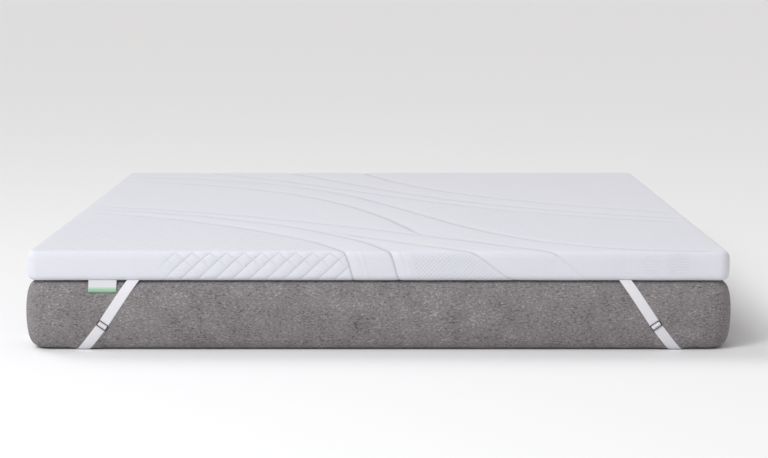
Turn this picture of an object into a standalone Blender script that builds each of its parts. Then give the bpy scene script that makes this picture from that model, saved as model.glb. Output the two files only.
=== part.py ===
"""A quilted mattress topper held on a plain mattress by four elastic corner straps.

Metres, +Z up. The origin is at the bottom centre, where the mattress rests. X runs across the
bed and Y along it, with the foot end at -Y. The straps, adjusters and label are seated on the
mattress's rounded side, so one side profile places them all.
"""
import math

import bmesh
import bpy
from mathutils import Vector
from mathutils.geometry import delaunay_2d_cdt

# The mattress
MATTRESS_WIDTH = 1.947          # at the widest part of its rounded side
MATTRESS_LENGTH = 2.049
MATTRESS_HEIGHT = 0.193
MATTRESS_DRAW_IN = 0.028        # from the widest part in to the flat top and bottom
MATTRESS_UPPER_POWER = 2.2      # of the upper half of the side: 2 is an ellipse, more is squarer
MATTRESS_LOWER_POWER = 2.4
MATTRESS_CORNER = 0.065         # plan radius
STRAP_RELIEF = 0.0020           # how far the straps press the bottom corners up
RELIEF_REACH = 0.210            # x and y distance from the corner, added, that is pressed up in full
RELIEF_RAMP = 0.050             # further distance over which the press runs out
RELIEF_HEIGHT = 0.050           # height on the side at which the press ends

# The topper
TOPPER_WIDTH = 1.930
TOPPER_LENGTH = 2.032
TOPPER_HEIGHT = 0.0805
TOPPER_CROWN = 0.005
TOPPER_CORNER = 0.032           # plan radius
TOPPER_EDGE = 0.018             # rounding of the upper edge, across
TOPPER_EDGE_FALL = 0.021        # rounding of the upper edge, in height
TOPPER_EDGE_POWER = 2.2
TOPPER_HEM = 0.020              # rounding of the lower edge, across
TOPPER_HEM_RISE = 0.026         # rounding of the lower edge, in height
TOPPER_HEM_POWER = 2.6
REST_GAP = 0.0003

# The sewn channels of the cover
CHANNEL_DEPTH = 0.0048
CHANNEL_REACH = 0.015           # from a channel's middle to its shoulder
CHANNEL_STEPS = 30
CHANNEL_TAPER = 0.150           # run-out of a channel that ends on the flat top
SEAM_FADE = 0.4                 # how much of a channel's depth is left at the bottom seam

# The diamond quilting of the front
DIAMOND_WIDTH = 0.047
DIAMOND_HEIGHT = 0.044
DIAMOND_DEPTH = 0.0024
DIAMOND_START = -0.600          # x where the diamonds begin
DIAMOND_COLUMNS = 11
DIAMOND_HALF_ROWS = 3           # half diamonds, one below the other
DIAMOND_DROP = 0.017            # from the edge of the flat top to the first of them
DIAMOND_FADE = 0.040            # run-out at the left
DIAMOND_MARGIN = 0.008          # run-out at the first channel, which closes the diamonds off

# How finely the cover is divided
COVER_SPACING = 0.125           # points on the plain parts of the flat top
COVER_CLEARANCE = 0.035         # from those points to a channel
COVER_MARGIN = 0.030            # from those points to the edge of the flat top
RING_SPACING = 0.118            # points along the rounded edge and the side

# The straps, one at each corner
STRAP_WIDTH = 0.028
STRAP_THICKNESS = 0.0012
STRAP_GAP = 0.0005              # between strap and mattress
STRAP_SEAM = 0.0100             # the strap leaves the topper this far in from its widest part
STRAP_SEAM_RISE = 0.0015        # and this far above the mattress
STRAP_TOP_FROM_CORNER = {
    # side of X: from the mattress's widest part to the strap's middle at the seam
    -1: 0.302,
    1: 0.297,
}
STRAP_COURSE = (
    # distance down from the seam, outward run for each unit of drop
    (0.000, 0.667),
    (0.119, 0.667),
    (0.134, 0.775),
    (0.200, 0.775),
    (0.240, 1.000),
    (1.000, 1.000),
)

# The adjusters, one on the foot or head side of each strap
WIRE_RADIUS = 0.0011
ADJUSTER_DROP = 0.1265          # from the seam to the adjuster's middle, down the side
ADJUSTER_WIDTH = 0.0308
ADJUSTER_PITCH = 0.008          # from the middle bar to an end bar
ADJUSTER_CORNER = 0.003
WIRE_GAP = 0.0003
STRAP_WAIST = 0.0256            # strap width inside the adjuster

# The label in the bottom seam
LABEL_CENTRE = -0.7555
LABEL_WIDTH = 0.077
LABEL_DROP = 0.0375
LABEL_THICKNESS = 0.001

MATTRESS_HALF = Vector((MATTRESS_WIDTH / 2, MATTRESS_LENGTH / 2))
TOPPER_HALF = Vector((TOPPER_WIDTH / 2, TOPPER_LENGTH / 2))
TOPPER_BOTTOM = MATTRESS_HEIGHT + REST_GAP

CORNERS = (
    # name, side of X, side of Y
    ("front_left", -1, -1),
    ("front_right", 1, -1),
    ("back_left", -1, 1),
    ("back_right", 1, 1),
)

# Each channel is one smooth sweep drawn on the cover before it is pulled over the edges:
# where it starts, the two points that pull it into its bend, and where it ends.
CHANNELS = (
    # start           first pull       second pull       end
    ((-1.06, -0.170), (-0.66, -0.195), (-0.092, -0.830), (-0.066, -1.110)),
    ((-1.06, -0.075), (-0.60, -0.155), (-0.042, -0.610), (0.060, -1.110)),
    ((-1.06, 0.000), (-0.50, -0.100), (0.15, -0.740), (0.600, -1.110)),
    ((-0.14, -0.640), (-0.02, -0.775), (0.18, -0.960), (0.395, -1.110)),
    ((-1.06, 0.720), (-0.28, 0.610), (-0.01, -0.120), (0.125, -0.720)),
    ((-1.06, 0.860), (0.32, 0.780), (-0.08, -1.085), (0.960, -0.985)),
    ((-0.80, 1.110), (0.00, 0.520), (0.06, -0.200), (1.060, -0.445)),
    ((-0.42, 1.110), (0.02, 0.440), (0.20, -0.110), (1.060, -0.360)),
    ((-0.10, 1.110), (0.10, 0.410), (0.34, 0.080), (1.060, -0.250)),
)


def clear_scene():
    for scene_object in list(bpy.data.objects):
        bpy.data.objects.remove(scene_object, do_unlink=True)


def material(name, colour, roughness, metallic=0.0):
    finish = bpy.data.materials.new(name)
    finish.use_nodes = True
    finish.diffuse_color = (*colour, 1.0)
    shader = finish.node_tree.nodes["Principled BSDF"]
    shader.inputs["Base Color"].default_value = (*colour, 1.0)
    shader.inputs["Roughness"].default_value = roughness
    shader.inputs["Metallic"].default_value = metallic
    return finish


def add_object(name, mesh_data, finish, smooth_angle=30.0):
    """Put a finished bmesh into the scene as a closed, smooth-shaded object."""
    bmesh.ops.recalc_face_normals(mesh_data, faces=mesh_data.faces)
    mesh = bpy.data.meshes.new(name)
    mesh_data.to_mesh(mesh)
    mesh_data.free()
    mesh.shade_smooth()
    mesh.set_sharp_from_angle(angle=math.radians(smooth_angle))
    mesh.materials.append(finish)
    new_object = bpy.data.objects.new(name, mesh)
    bpy.context.scene.collection.objects.link(new_object)
    return new_object


def interpolate(table, distance):
    """Read a row of values from a table whose first column rises."""
    for lower, upper in zip(table, table[1:]):
        if distance <= upper[0]:
            break
    share = (distance - lower[0]) / (upper[0] - lower[0])
    return [a + (b - a) * share for a, b in zip(lower[1:], upper[1:])]


def with_distance(points):
    """Rows of distance along a section, outward position, height and outward normal."""
    rows = []
    travelled = 0.0
    for index, point in enumerate(points):
        before = points[max(index - 1, 0)]
        after = points[min(index + 1, len(points) - 1)]
        if index:
            travelled += (point - before).length
        along = (after - before).normalized()
        rows.append((travelled, point.x, point.y, -along.y, along.x))
    return rows


# ---------------------------------------------------------------- mattress

def mattress_section(steps):
    """Section of the mattress's side from the top down: inset from the widest part, height."""
    half_height = MATTRESS_HEIGHT / 2
    points = []
    for step in range(steps + 1):
        angle = math.radians(90.0 - 180.0 * step / steps)
        power = 2.0 / (MATTRESS_UPPER_POWER if angle > 0.0 else MATTRESS_LOWER_POWER)
        across = abs(math.cos(angle)) ** power
        upward = math.copysign(abs(math.sin(angle)) ** power, math.sin(angle))
        points.append(Vector((MATTRESS_DRAW_IN * (1.0 - across), half_height * (1.0 + upward))))
    points[0].x = MATTRESS_DRAW_IN
    points[-1] = Vector((MATTRESS_DRAW_IN, 0.0))
    return points


def relief(distance_x, distance_y):
    """How far the strap presses up the underside near a corner."""
    past = (RELIEF_REACH + RELIEF_RAMP - distance_x - distance_y) / RELIEF_RAMP
    return STRAP_RELIEF * min(max(past, 0.0), 1.0)


def raised(height, amount):
    return height + amount * max(0.0, 1.0 - height / RELIEF_HEIGHT)


def mattress_loop(inset, height, corner_steps):
    """One ring round the mattress, with points where the pressed-up corners begin and end."""
    radius = MATTRESS_CORNER - inset
    centre = MATTRESS_HALF - Vector((MATTRESS_CORNER, MATTRESS_CORNER))
    stops = (RELIEF_REACH - MATTRESS_DRAW_IN, RELIEF_REACH + RELIEF_RAMP - MATTRESS_DRAW_IN)
    quarter = [Vector((MATTRESS_HALF.x - inset, 0.0))]
    quarter += [Vector((MATTRESS_HALF.x - inset, MATTRESS_HALF.y - stop)) for stop in reversed(stops)]
    for step in range(corner_steps + 1):
        angle = math.radians(90.0 * step / corner_steps)
        quarter.append(centre + radius * Vector((math.cos(angle), math.sin(angle))))
    quarter += [Vector((MATTRESS_HALF.x - stop, MATTRESS_HALF.y - inset)) for stop in stops]
    quarter.append(Vector((0.0, MATTRESS_HALF.y - inset)))
    loop = []
    for sign_x, sign_y in ((1, 1), (-1, 1), (-1, -1), (1, -1)):
        points = quarter if sign_x * sign_y > 0 else list(reversed(quarter))
        loop += [Vector((point.x * sign_x, point.y * sign_y)) for point in points[:-1]]
    ring = []
    for point in loop:
        amount = relief(MATTRESS_HALF.x - abs(point.x), MATTRESS_HALF.y - abs(point.y))
        ring.append((point.x, point.y, raised(height, amount)))
    return ring


def build_mattress(finish):
    corner_steps = 6
    body = bmesh.new()
    rings = []
    for section_point in mattress_section(18):
        ring = mattress_loop(section_point.x, section_point.y, corner_steps)
        rings.append([body.verts.new(point) for point in ring])
    count = len(rings[0])
    for upper, lower in zip(rings, rings[1:]):
        for index in range(count):
            after = (index + 1) % count
            body.faces.new((upper[index], lower[index], lower[after], upper[after]))
    body.faces.new(rings[0])
    # The underside is a flat middle and, at each corner, a ramp and a raised flat. In each
    # quarter of the ring the second point and the last begin the ramp, the third ends it.
    quarter = count // 4
    middle = []
    for side in range(4):
        stretch = [rings[-1][(side * quarter + offset) % count] for offset in range(quarter)]
        body.faces.new((stretch[1], stretch[2], stretch[-2], stretch[-1]))
        body.faces.new(stretch[2:-1])
        middle += [stretch[0], stretch[1], stretch[-1]]
    body.faces.new(middle)
    return add_object("mattress", body, finish)


# ---------------------------------------------------------------- topper

def topper_section():
    """Section of the topper's side from the top down: outward from the flat top, height."""
    points = []
    edge_steps = 6
    for step in range(edge_steps + 1):
        angle = math.radians(90.0 * step / edge_steps)
        power = 2.0 / TOPPER_EDGE_POWER
        outward = TOPPER_EDGE * math.sin(angle) ** power
        fall = TOPPER_EDGE_FALL * (1.0 - max(math.cos(angle), 0.0) ** power)
        points.append(Vector((outward, TOPPER_HEIGHT - fall)))
    hem_steps = 7
    for step in range(hem_steps + 1):
        angle = math.radians(90.0 * step / hem_steps)
        power = 2.0 / TOPPER_HEM_POWER
        draw_in = TOPPER_HEM * (1.0 - max(math.cos(angle), 0.0) ** power)
        height = TOPPER_HEM_RISE * (1.0 - math.sin(angle) ** power)
        points.append(Vector((TOPPER_EDGE - draw_in, height)))
    return with_distance(points)


TOPPER_SECTION = topper_section()
SIDE_LENGTH = TOPPER_SECTION[-1][0]
FLAT_HALF = TOPPER_HALF - Vector((TOPPER_EDGE, TOPPER_EDGE))
FLAT_CORNER = TOPPER_CORNER - TOPPER_EDGE


def edge_of_flat(point):
    """Nearest place on the flat top's edge, the way out of it, and how far past it a point is."""
    side = Vector((abs(point.x), abs(point.y)))
    turn = FLAT_HALF - Vector((FLAT_CORNER, FLAT_CORNER))
    past = side - turn
    if past.x > 0.0 and past.y > 0.0:
        way = past.normalized()
        base = turn + way * FLAT_CORNER
        distance = past.length - FLAT_CORNER
    elif side.x - FLAT_HALF.x > side.y - FLAT_HALF.y:
        way = Vector((1.0, 0.0))
        base = Vector((FLAT_HALF.x, side.y))
        distance = side.x - FLAT_HALF.x
    else:
        way = Vector((0.0, 1.0))
        base = Vector((side.x, FLAT_HALF.y))
        distance = side.y - FLAT_HALF.y
    signs = (math.copysign(1.0, point.x), math.copysign(1.0, point.y))
    base = Vector((base.x * signs[0], base.y * signs[1]))
    way = Vector((way.x * signs[0], way.y * signs[1]))
    return base, way, distance


def channel_points(row, steps=CHANNEL_STEPS):
    """The sweep of one channel, with the direction across it at each point."""
    start, first_pull, second_pull, end = (Vector(value) for value in row)
    points = []
    for step in range(steps + 1):
        t = step / steps
        s = 1.0 - t
        place = start * s ** 3 + first_pull * 3 * s * s * t + second_pull * 3 * s * t * t + end * t ** 3
        along = (first_pull - start) * s * s + (second_pull - first_pull) * 2 * s * t
        along += (end - second_pull) * t * t
        along.normalize()
        points.append((place, Vector((-along.y, along.x))))
    return points


def distance_to_line(point, line):
    """Shortest distance from a point to a chain of straight pieces."""
    nearest = 10.0
    for (start, _), (end, _) in zip(line, line[1:]):
        run = end - start
        share = (point - start).dot(run) / run.length_squared
        share = min(max(share, 0.0), 1.0)
        nearest = min(nearest, (point - start - run * share).length)
    return nearest


def run_out(point, line):
    """1 along a channel, falling to 0 at an end that lies on the flat top."""
    left = 1.0
    for end in (line[0][0], line[-1][0]):
        if edge_of_flat(end)[2] < 0.0:
            left = min(left, (point - end).length / CHANNEL_TAPER)
    return left


def on_front(column, half_row):
    """A place among the diamonds: columns to the right, half rows down the front."""
    x = DIAMOND_START + column * DIAMOND_WIDTH
    return Vector((x, -FLAT_HALF.y - DIAMOND_DROP - half_row * DIAMOND_HEIGHT / 2))


def diamond_lines():
    """The sloping lines between the diamonds, which meet on whole and half columns by turns."""
    lines = []
    for half_row in range(DIAMOND_HALF_ROWS):
        odd = half_row % 2
        for column in range(DIAMOND_COLUMNS):
            for side in (0, 1):
                whole = on_front(column + side, half_row + odd)
                lines.append((whole, on_front(column + 0.5, half_row + 1 - odd)))
    return lines


def diamond_middles():
    """The raised middle of each diamond."""
    middles = []
    for half_row in range(DIAMOND_HALF_ROWS + 1):
        for column in range(DIAMOND_COLUMNS):
            middles.append(on_front(column + 0.5 - 0.5 * (half_row % 2), half_row))
    return middles


def channel_x(line, y):
    """Where a channel that runs down the front stands at one place on the way."""
    for (start, _), (end, _) in zip(line, line[1:]):
        if end.y <= y:
            break
    return start.x + (end.x - start.x) * (start.y - y) / (start.y - end.y)


def diamond_relief(point, closing_line):
    """How far the cover is drawn down between the diamonds, 0 on a diamond's middle."""
    down = (-FLAT_HALF.y - DIAMOND_DROP - point.y) / DIAMOND_HEIGHT
    across = (point.x - DIAMOND_START) / DIAMOND_WIDTH
    if not 0.0 <= down <= DIAMOND_HALF_ROWS / 2:
        return 0.0
    rising = across + down
    falling = across - down
    nearest = min(abs(rising - round(rising)), abs(falling - round(falling)))
    left = (point.x - DIAMOND_START) / DIAMOND_FADE
    right = (channel_x(closing_line, point.y) - point.x) / DIAMOND_MARGIN
    return DIAMOND_DEPTH * (1.0 - nearest / 0.5) * max(0.0, min(left, right, 1.0))


def topper_surface(point, channels):
    """Lift a point of the unfolded cover into its place on the topper."""
    base, way, distance = edge_of_flat(point)
    sunk = 0.0
    for line in channels:
        share = 1.0 - distance_to_line(point, line) / CHANNEL_REACH
        sunk = max(sunk, CHANNEL_DEPTH * share * run_out(point, line))
    sunk = max(sunk, diamond_relief(point, channels[0]))
    if distance <= 0.0:
        across = 1.0 - (point.x / FLAT_HALF.x) ** 2
        lengthways = 1.0 - (point.y / FLAT_HALF.y) ** 2
        crown = TOPPER_CROWN * math.sqrt(max(across, 0.0) * max(lengthways, 0.0))
        return Vector((point.x, point.y, TOPPER_BOTTOM + TOPPER_HEIGHT + crown - sunk))
    outward, height, normal_out, normal_up = interpolate(TOPPER_SECTION, min(distance, SIDE_LENGTH))
    sunk *= 1.0 - (1.0 - SEAM_FADE) * (distance / SIDE_LENGTH) ** 4
    if distance >= SIDE_LENGTH - 1e-5:
        normal_out = 1.0
        normal_up = 0.0
        height = 0.0
    plan = base + way * (outward - sunk * normal_out)
    return Vector((plan.x, plan.y, TOPPER_BOTTOM + height - sunk * normal_up))


def ring_stops(start, end):
    """Places between two corners of a ring, closer together on the front where the diamonds are."""
    steps = math.ceil((end - start).length / RING_SPACING)
    stops = [start.lerp(end, step / steps) for step in range(1, steps)]
    if start.y == end.y < 0.0:
        last = DIAMOND_START + DIAMOND_COLUMNS * DIAMOND_WIDTH
        stops = [stop for stop in stops if not DIAMOND_START - 0.02 < stop.x < last + 0.02]
        for half_column in range(2 * DIAMOND_COLUMNS + 1):
            stops.append(Vector((DIAMOND_START + half_column * DIAMOND_WIDTH / 2, start.y)))
        stops.sort(key=lambda stop: stop.x)
    return stops


def cover_ring(distance, corner_steps=5):
    """A ring round the unfolded cover at one distance past the edge of the flat top."""
    turn = FLAT_HALF - Vector((FLAT_CORNER, FLAT_CORNER))
    radius = FLAT_CORNER + distance
    centres = [Vector((turn.x * x, turn.y * y)) for x, y in ((1, 1), (-1, 1), (-1, -1), (1, -1))]
    ring = []
    for side, centre in enumerate(centres):
        for step in range(corner_steps + 1):
            angle = math.radians(90.0 * (side + step / corner_steps))
            way = radius * Vector((math.cos(angle), math.sin(angle)))
            ring.append(centre + way)
        ring += [stop + way for stop in ring_stops(centre, centres[(side + 1) % 4])]
    return ring


def inside_part(chain):
    """The stretch of a line that lies on the cover, with the first point past each end."""
    on_cover = [index for index, place in enumerate(chain) if edge_of_flat(place)[2] < SIDE_LENGTH]
    return chain[max(on_cover[0] - 1, 0):on_cover[-1] + 2]


def plain_points(channels):
    """Points on the flat top, away from the channels."""
    reach = math.ceil(max(FLAT_HALF) / COVER_SPACING)
    points = []
    for column in range(-reach, reach + 1):
        for row in range(-reach, reach + 1):
            place = COVER_SPACING * Vector((column, row + 0.5 * (column % 2)))
            nearest = min(distance_to_line(place, line) for line in channels)
            if edge_of_flat(place)[2] < -COVER_MARGIN and nearest > COVER_CLEARANCE:
                points.append(place)
    return points


def build_topper(finish):
    """The filled topper: its cover is divided flat, along the sewn lines, then lifted into place."""
    places = []
    edges = []

    def add_chain(points, closed=False):
        first = len(places)
        places.extend(points)
        edges.extend((first + index, first + index + 1) for index in range(len(points) - 1))
        if closed:
            edges.append((first + len(points) - 1, first))

    outline = cover_ring(SIDE_LENGTH)
    add_chain(outline, closed=True)
    for row in TOPPER_SECTION[:-1]:
        add_chain(cover_ring(row[0]), closed=True)
    channels = [channel_points(row) for row in CHANNELS]
    for line in channels:
        for offset in (-CHANNEL_REACH, 0.0, CHANNEL_REACH):
            add_chain(inside_part([place + across * offset for place, across in line]))
    for ends in diamond_lines():
        add_chain(ends)
    places += diamond_middles()
    places += plain_points(channels)

    keep_inside = 1
    merge_distance = 1e-4
    divided = delaunay_2d_cdt(places, edges, [list(range(len(outline)))], keep_inside, merge_distance)
    cover = bmesh.new()
    verts = [cover.verts.new(topper_surface(place, channels)) for place in divided[0]]
    for corners in divided[2]:
        cover.faces.new([verts[corner] for corner in corners])
    for vert in verts:
        if not vert.link_faces:
            cover.verts.remove(vert)
    seam = [edge for edge in cover.edges if edge.is_boundary]
    bmesh.ops.contextual_create(cover, geom=seam)
    return add_object("topper", cover, finish, smooth_angle=40.0)


# ---------------------------------------------------------------- straps, adjusters and label

def strap_carrier():
    """Section that a strap follows, from the topper's seam down and under the mattress.

    Rows of distance, inset from the mattress's widest part, height and outward normal.
    """
    lowered = []
    for point in mattress_section(60):
        lowered.append(Vector((point.x, raised(point.y, STRAP_RELIEF))))
    side = []
    for index, point in enumerate(lowered):
        before = lowered[max(index - 1, 0)]
        after = lowered[min(index + 1, len(lowered) - 1)]
        along = (after - before).normalized()
        side.append(point + Vector((along.y, -along.x)) * STRAP_GAP)
    seam = Vector((MATTRESS_HALF.x - TOPPER_HALF.x + STRAP_SEAM, MATTRESS_HEIGHT + STRAP_SEAM_RISE))
    # The strap hangs straight from the seam to the place where it first lies on the side.
    below = [index for index, point in enumerate(side) if point.y < MATTRESS_HEIGHT - 0.002]
    touch = min(below, key=lambda index: (side[index].x - seam.x) / (seam.y - side[index].y))
    points = [seam] + side[touch:]
    points[-1].y = STRAP_RELIEF - STRAP_GAP
    points.append(Vector((MATTRESS_DRAW_IN + 0.2, STRAP_RELIEF - STRAP_GAP)))
    return with_distance([Vector((-point.x, point.y)) for point in points])


CARRIER = strap_carrier()
UNDERSIDE = CARRIER[-2][0]      # distance at which the strap lies flat under the mattress


def strap_middle(distance, side_x):
    """Distance of the strap's middle from the corner, and its outward run for each unit of drop."""
    run = 0.0
    for (above, slope_above), (below, slope_below) in zip(STRAP_COURSE, STRAP_COURSE[1:]):
        share = min((distance - above) / (below - above), 1.0)
        slope = slope_above + (slope_below - slope_above) * share
        run += (slope_above + slope) / 2 * (below - above) * share
        if distance <= below:
            break
    return STRAP_TOP_FROM_CORNER[side_x] - run, slope


def on_carrier(from_corner, distance, height):
    """A point over the mattress's side, as distances in from the two sides of a corner."""
    outward, level, normal_out, normal_up = interpolate(CARRIER, distance)
    inset = -outward - height * normal_out
    return Vector((from_corner, inset, level + height * normal_up))


def strap_section(side_x, distance, turned, width, rise):
    """Four corner points of the strap's section. Turned 0 is level, 1 is square to the strap."""
    from_corner, slope = strap_middle(distance, side_x)
    lean = math.atan(slope)
    tilt = lean * turned
    reach = width / 2 / math.cos(lean - tilt)
    points = []
    for side, height in ((1, 0.0), (-1, 0.0), (-1, STRAP_THICKNESS), (1, STRAP_THICKNESS)):
        place = on_carrier(
            from_corner + side * reach * math.cos(tilt),
            distance + side * reach * math.sin(tilt),
            rise + height,
        )
        points.append(place)
    return points


def corner_distance(side_x):
    """Distance down the carrier at which the strap's middle meets the corner's diagonal."""
    straight = STRAP_COURSE[-2][0]
    from_corner, _ = strap_middle(straight, side_x)
    inset = MATTRESS_DRAW_IN + straight - UNDERSIDE
    return straight + (from_corner - inset) / 2


def plain_stations():
    """Places of the strap's sections down one side, closer together where the side is round."""
    stations = [(0.0, 0.0), (0.5 * CARRIER[1][0], 0.0)]
    round_start = CARRIER[1][0]
    steps = 24
    for step in range(steps + 1):
        share = step / steps
        stations.append((round_start + (UNDERSIDE - round_start) * (1.0 - (1.0 - share) ** 1.35), 0.0))
    stations.append(((UNDERSIDE + STRAP_COURSE[-2][0]) / 2, 0.0))
    stations.append((STRAP_COURSE[-2][0], 0.0))
    return stations


def adjuster_stations():
    """Sections through the adjuster: distance, turn, strap width and rise over the middle bar."""
    _, slope = strap_middle(ADJUSTER_DROP, 1)
    down = math.cos(math.atan(slope))
    full_rise = 2 * WIRE_RADIUS + 2 * WIRE_GAP + STRAP_THICKNESS
    waist_end = 0.0095
    stations = []
    for millimetres in (-12.5, -9.5, -8.2, -7.2, -6.2, -5.2, -4.0, -2.6, -1.3, 0.0):
        along = millimetres / 1000
        rise = 0.0
        if abs(along) < ADJUSTER_PITCH:
            rise = full_rise * (0.5 + 0.5 * math.cos(math.pi * along / ADJUSTER_PITCH))
        width = STRAP_WIDTH
        if abs(along) < waist_end:
            share = min((waist_end - abs(along)) / (waist_end - 0.0065), 1.0)
            width += (STRAP_WAIST - STRAP_WIDTH) * share
        stations.append((ADJUSTER_DROP + along * down, 1.0, width, rise))
        if millimetres:
            stations.append((ADJUSTER_DROP - along * down, 1.0, width, rise))
    return sorted(stations)


def strap_sections(side_x, has_adjuster):
    """All sections down one side, as far as the corner's diagonal."""
    stations = [(distance, turned, STRAP_WIDTH, 0.0) for distance, turned in plain_stations()]
    if has_adjuster:
        through = adjuster_stations()
        clear = 0.022
        stations = [row for row in stations if abs(row[0] - ADJUSTER_DROP) > clear + 0.008]
        before = ADJUSTER_DROP - clear
        after = ADJUSTER_DROP + clear
        stations.append((before, 0.35, STRAP_WIDTH, 0.0))
        stations.append((before + 0.005, 0.7, STRAP_WIDTH, 0.0))
        stations += through
        stations.append((after - 0.005, 0.7, STRAP_WIDTH, 0.0))
        stations.append((after, 0.35, STRAP_WIDTH, 0.0))
        stations.sort()
    stations.append((corner_distance(side_x), 1.0, STRAP_WIDTH, 0.0))
    return [strap_section(side_x, *station) for station in stations]


def from_corner_to_world(point, sign_x, sign_y):
    """Distances in from a corner's two sides, given front side first, to a place in the part."""
    return Vector((sign_x * (MATTRESS_HALF.x - point.x), sign_y * (MATTRESS_HALF.y - point.y), point.z))


def build_strap(name, sign_x, sign_y, finish):
    sections = strap_sections(sign_x, has_adjuster=True)
    for section in reversed(strap_sections(sign_x, has_adjuster=False)[:-1]):
        sections.append([Vector((point.y, point.x, point.z)) for point in section])
    strap = bmesh.new()
    rings = []
    for section in sections:
        rings.append([strap.verts.new(from_corner_to_world(point, sign_x, sign_y)) for point in section])
    for ring, following in zip(rings, rings[1:]):
        for index in range(4):
            after = (index + 1) % 4
            strap.faces.new((ring[index], ring[after], following[after], following[index]))
    strap.faces.new(rings[0])
    strap.faces.new(rings[-1])
    return add_object("strap_" + name, strap, finish)


def tube(name, path, radius, closed, up, sides=8):
    """A round wire along a path that lies in one plane, whose normal is up."""
    wire = bmesh.new()
    rings = []
    count = len(path)
    for index, point in enumerate(path):
        before = path[(index - 1) % count] if closed or index else path[0]
        after = path[(index + 1) % count] if closed or index < count - 1 else path[-1]
        along = (after - before).normalized()
        across = along.cross(up).normalized()
        ring = []
        for side in range(sides):
            angle = 2 * math.pi * side / sides
            ring.append(wire.verts.new(point + radius * (across * math.cos(angle) + up * math.sin(angle))))
        rings.append(ring)
    pairs = list(zip(rings, rings[1:]))
    if closed:
        pairs.append((rings[-1], rings[0]))
    for ring, following in pairs:
        for side in range(sides):
            after = (side + 1) % sides
            wire.faces.new((ring[side], ring[after], following[after], following[side]))
    if not closed:
        wire.faces.new(rings[0])
        wire.faces.new(rings[-1])
    return wire


def build_adjuster(name, sign_x, sign_y, finish):
    """A flat three-bar slide of round wire, square to the strap that runs through it."""
    from_corner, slope = strap_middle(ADJUSTER_DROP, sign_x)
    height = STRAP_THICKNESS + WIRE_GAP + WIRE_RADIUS
    probe = 0.001
    centre = from_corner_to_world(on_carrier(from_corner, ADJUSTER_DROP, height), sign_x, sign_y)
    below = from_corner_to_world(
        on_carrier(from_corner - probe * slope, ADJUSTER_DROP + probe, height), sign_x, sign_y)
    beside = from_corner_to_world(on_carrier(from_corner - probe, ADJUSTER_DROP, height), sign_x, sign_y)
    along = (below - centre).normalized()
    outward = along.cross(beside - centre).normalized()
    across = along.cross(outward).normalized()

    half_width = ADJUSTER_WIDTH / 2 - WIRE_RADIUS
    straight_across = half_width - ADJUSTER_CORNER
    straight_along = ADJUSTER_PITCH - ADJUSTER_CORNER
    corner_steps = 3
    path = []
    for turn, (side_across, side_along) in enumerate(((1, 1), (-1, 1), (-1, -1), (1, -1))):
        for step in range(corner_steps + 1):
            angle = math.radians(90.0 * (turn + step / corner_steps))
            x = straight_across * side_across + ADJUSTER_CORNER * math.cos(angle)
            y = straight_along * side_along + ADJUSTER_CORNER * math.sin(angle)
            path.append(centre + across * x + along * y)
    frame = add_object("adjuster_" + name, tube("frame", path, WIRE_RADIUS, True, outward), finish)
    reach = half_width + 0.2 * WIRE_RADIUS
    ends = [centre - across * reach, centre + across * reach]
    bar = add_object("bar_" + name, tube("bar", ends, WIRE_RADIUS * 0.85, False, outward), finish)
    bar.hide_render = True
    bar.display_type = 'WIRE'
    join = frame.modifiers.new("join middle bar", 'BOOLEAN')
    join.operation = 'UNION'
    join.object = bar
    return frame


def build_label(finish):
    """A folded tab that hangs from the seam over the mattress's rounded side."""
    label = bmesh.new()
    left = MATTRESS_HALF.x - abs(LABEL_CENTRE) + LABEL_WIDTH / 2
    right = left - LABEL_WIDTH
    steps = 5
    rings = []
    for step in range(steps + 1):
        distance = LABEL_DROP * step / steps
        corners = ((left, 0.0), (right, 0.0), (right, LABEL_THICKNESS), (left, LABEL_THICKNESS))
        ring = [from_corner_to_world(on_carrier(x, distance, height), -1, -1) for x, height in corners]
        rings.append([label.verts.new(point) for point in ring])
    for ring, following in zip(rings, rings[1:]):
        for index in range(4):
            after = (index + 1) % 4
            label.faces.new((ring[index], ring[after], following[after], following[index]))
    label.faces.new(rings[0])
    label.faces.new(rings[-1])
    return add_object("label", label, finish)


def build():
    clear_scene()
    white_cover = material("quilted white cover", (0.83, 0.84, 0.88), 0.85)
    grey_cover = material("grey marled cover", (0.22, 0.21, 0.22), 0.95)
    white_elastic = material("white elastic webbing", (0.76, 0.77, 0.80), 0.8)
    dark_metal = material("dark grey metal", (0.06, 0.06, 0.065), 0.35, 0.9)
    label_cloth = material("white satin label", (0.85, 0.88, 0.90), 0.5)
    build_mattress(grey_cover)
    build_topper(white_cover)
    build_label(label_cloth)
    for name, sign_x, sign_y in CORNERS:
        build_strap(name, sign_x, sign_y, white_elastic)
        build_adjuster(name, sign_x, sign_y, dark_metal)


build()
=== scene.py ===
import math

import bpy
import numpy as np
from mathutils import Euler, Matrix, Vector


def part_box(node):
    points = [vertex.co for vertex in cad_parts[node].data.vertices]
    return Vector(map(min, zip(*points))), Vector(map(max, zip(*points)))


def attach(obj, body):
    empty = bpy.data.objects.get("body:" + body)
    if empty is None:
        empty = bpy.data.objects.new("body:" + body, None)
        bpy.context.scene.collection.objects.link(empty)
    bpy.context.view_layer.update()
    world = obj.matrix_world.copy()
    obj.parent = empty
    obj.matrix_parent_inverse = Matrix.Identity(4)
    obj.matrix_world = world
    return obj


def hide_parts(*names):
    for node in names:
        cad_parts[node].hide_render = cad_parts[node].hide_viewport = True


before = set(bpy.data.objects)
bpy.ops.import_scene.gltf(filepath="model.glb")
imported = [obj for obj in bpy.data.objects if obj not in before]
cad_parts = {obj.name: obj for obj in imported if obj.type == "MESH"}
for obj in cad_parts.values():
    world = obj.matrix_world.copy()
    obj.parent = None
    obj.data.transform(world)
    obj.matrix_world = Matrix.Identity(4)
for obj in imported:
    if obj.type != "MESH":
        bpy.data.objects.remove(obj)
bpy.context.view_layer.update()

_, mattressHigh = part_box("mattress")
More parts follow.
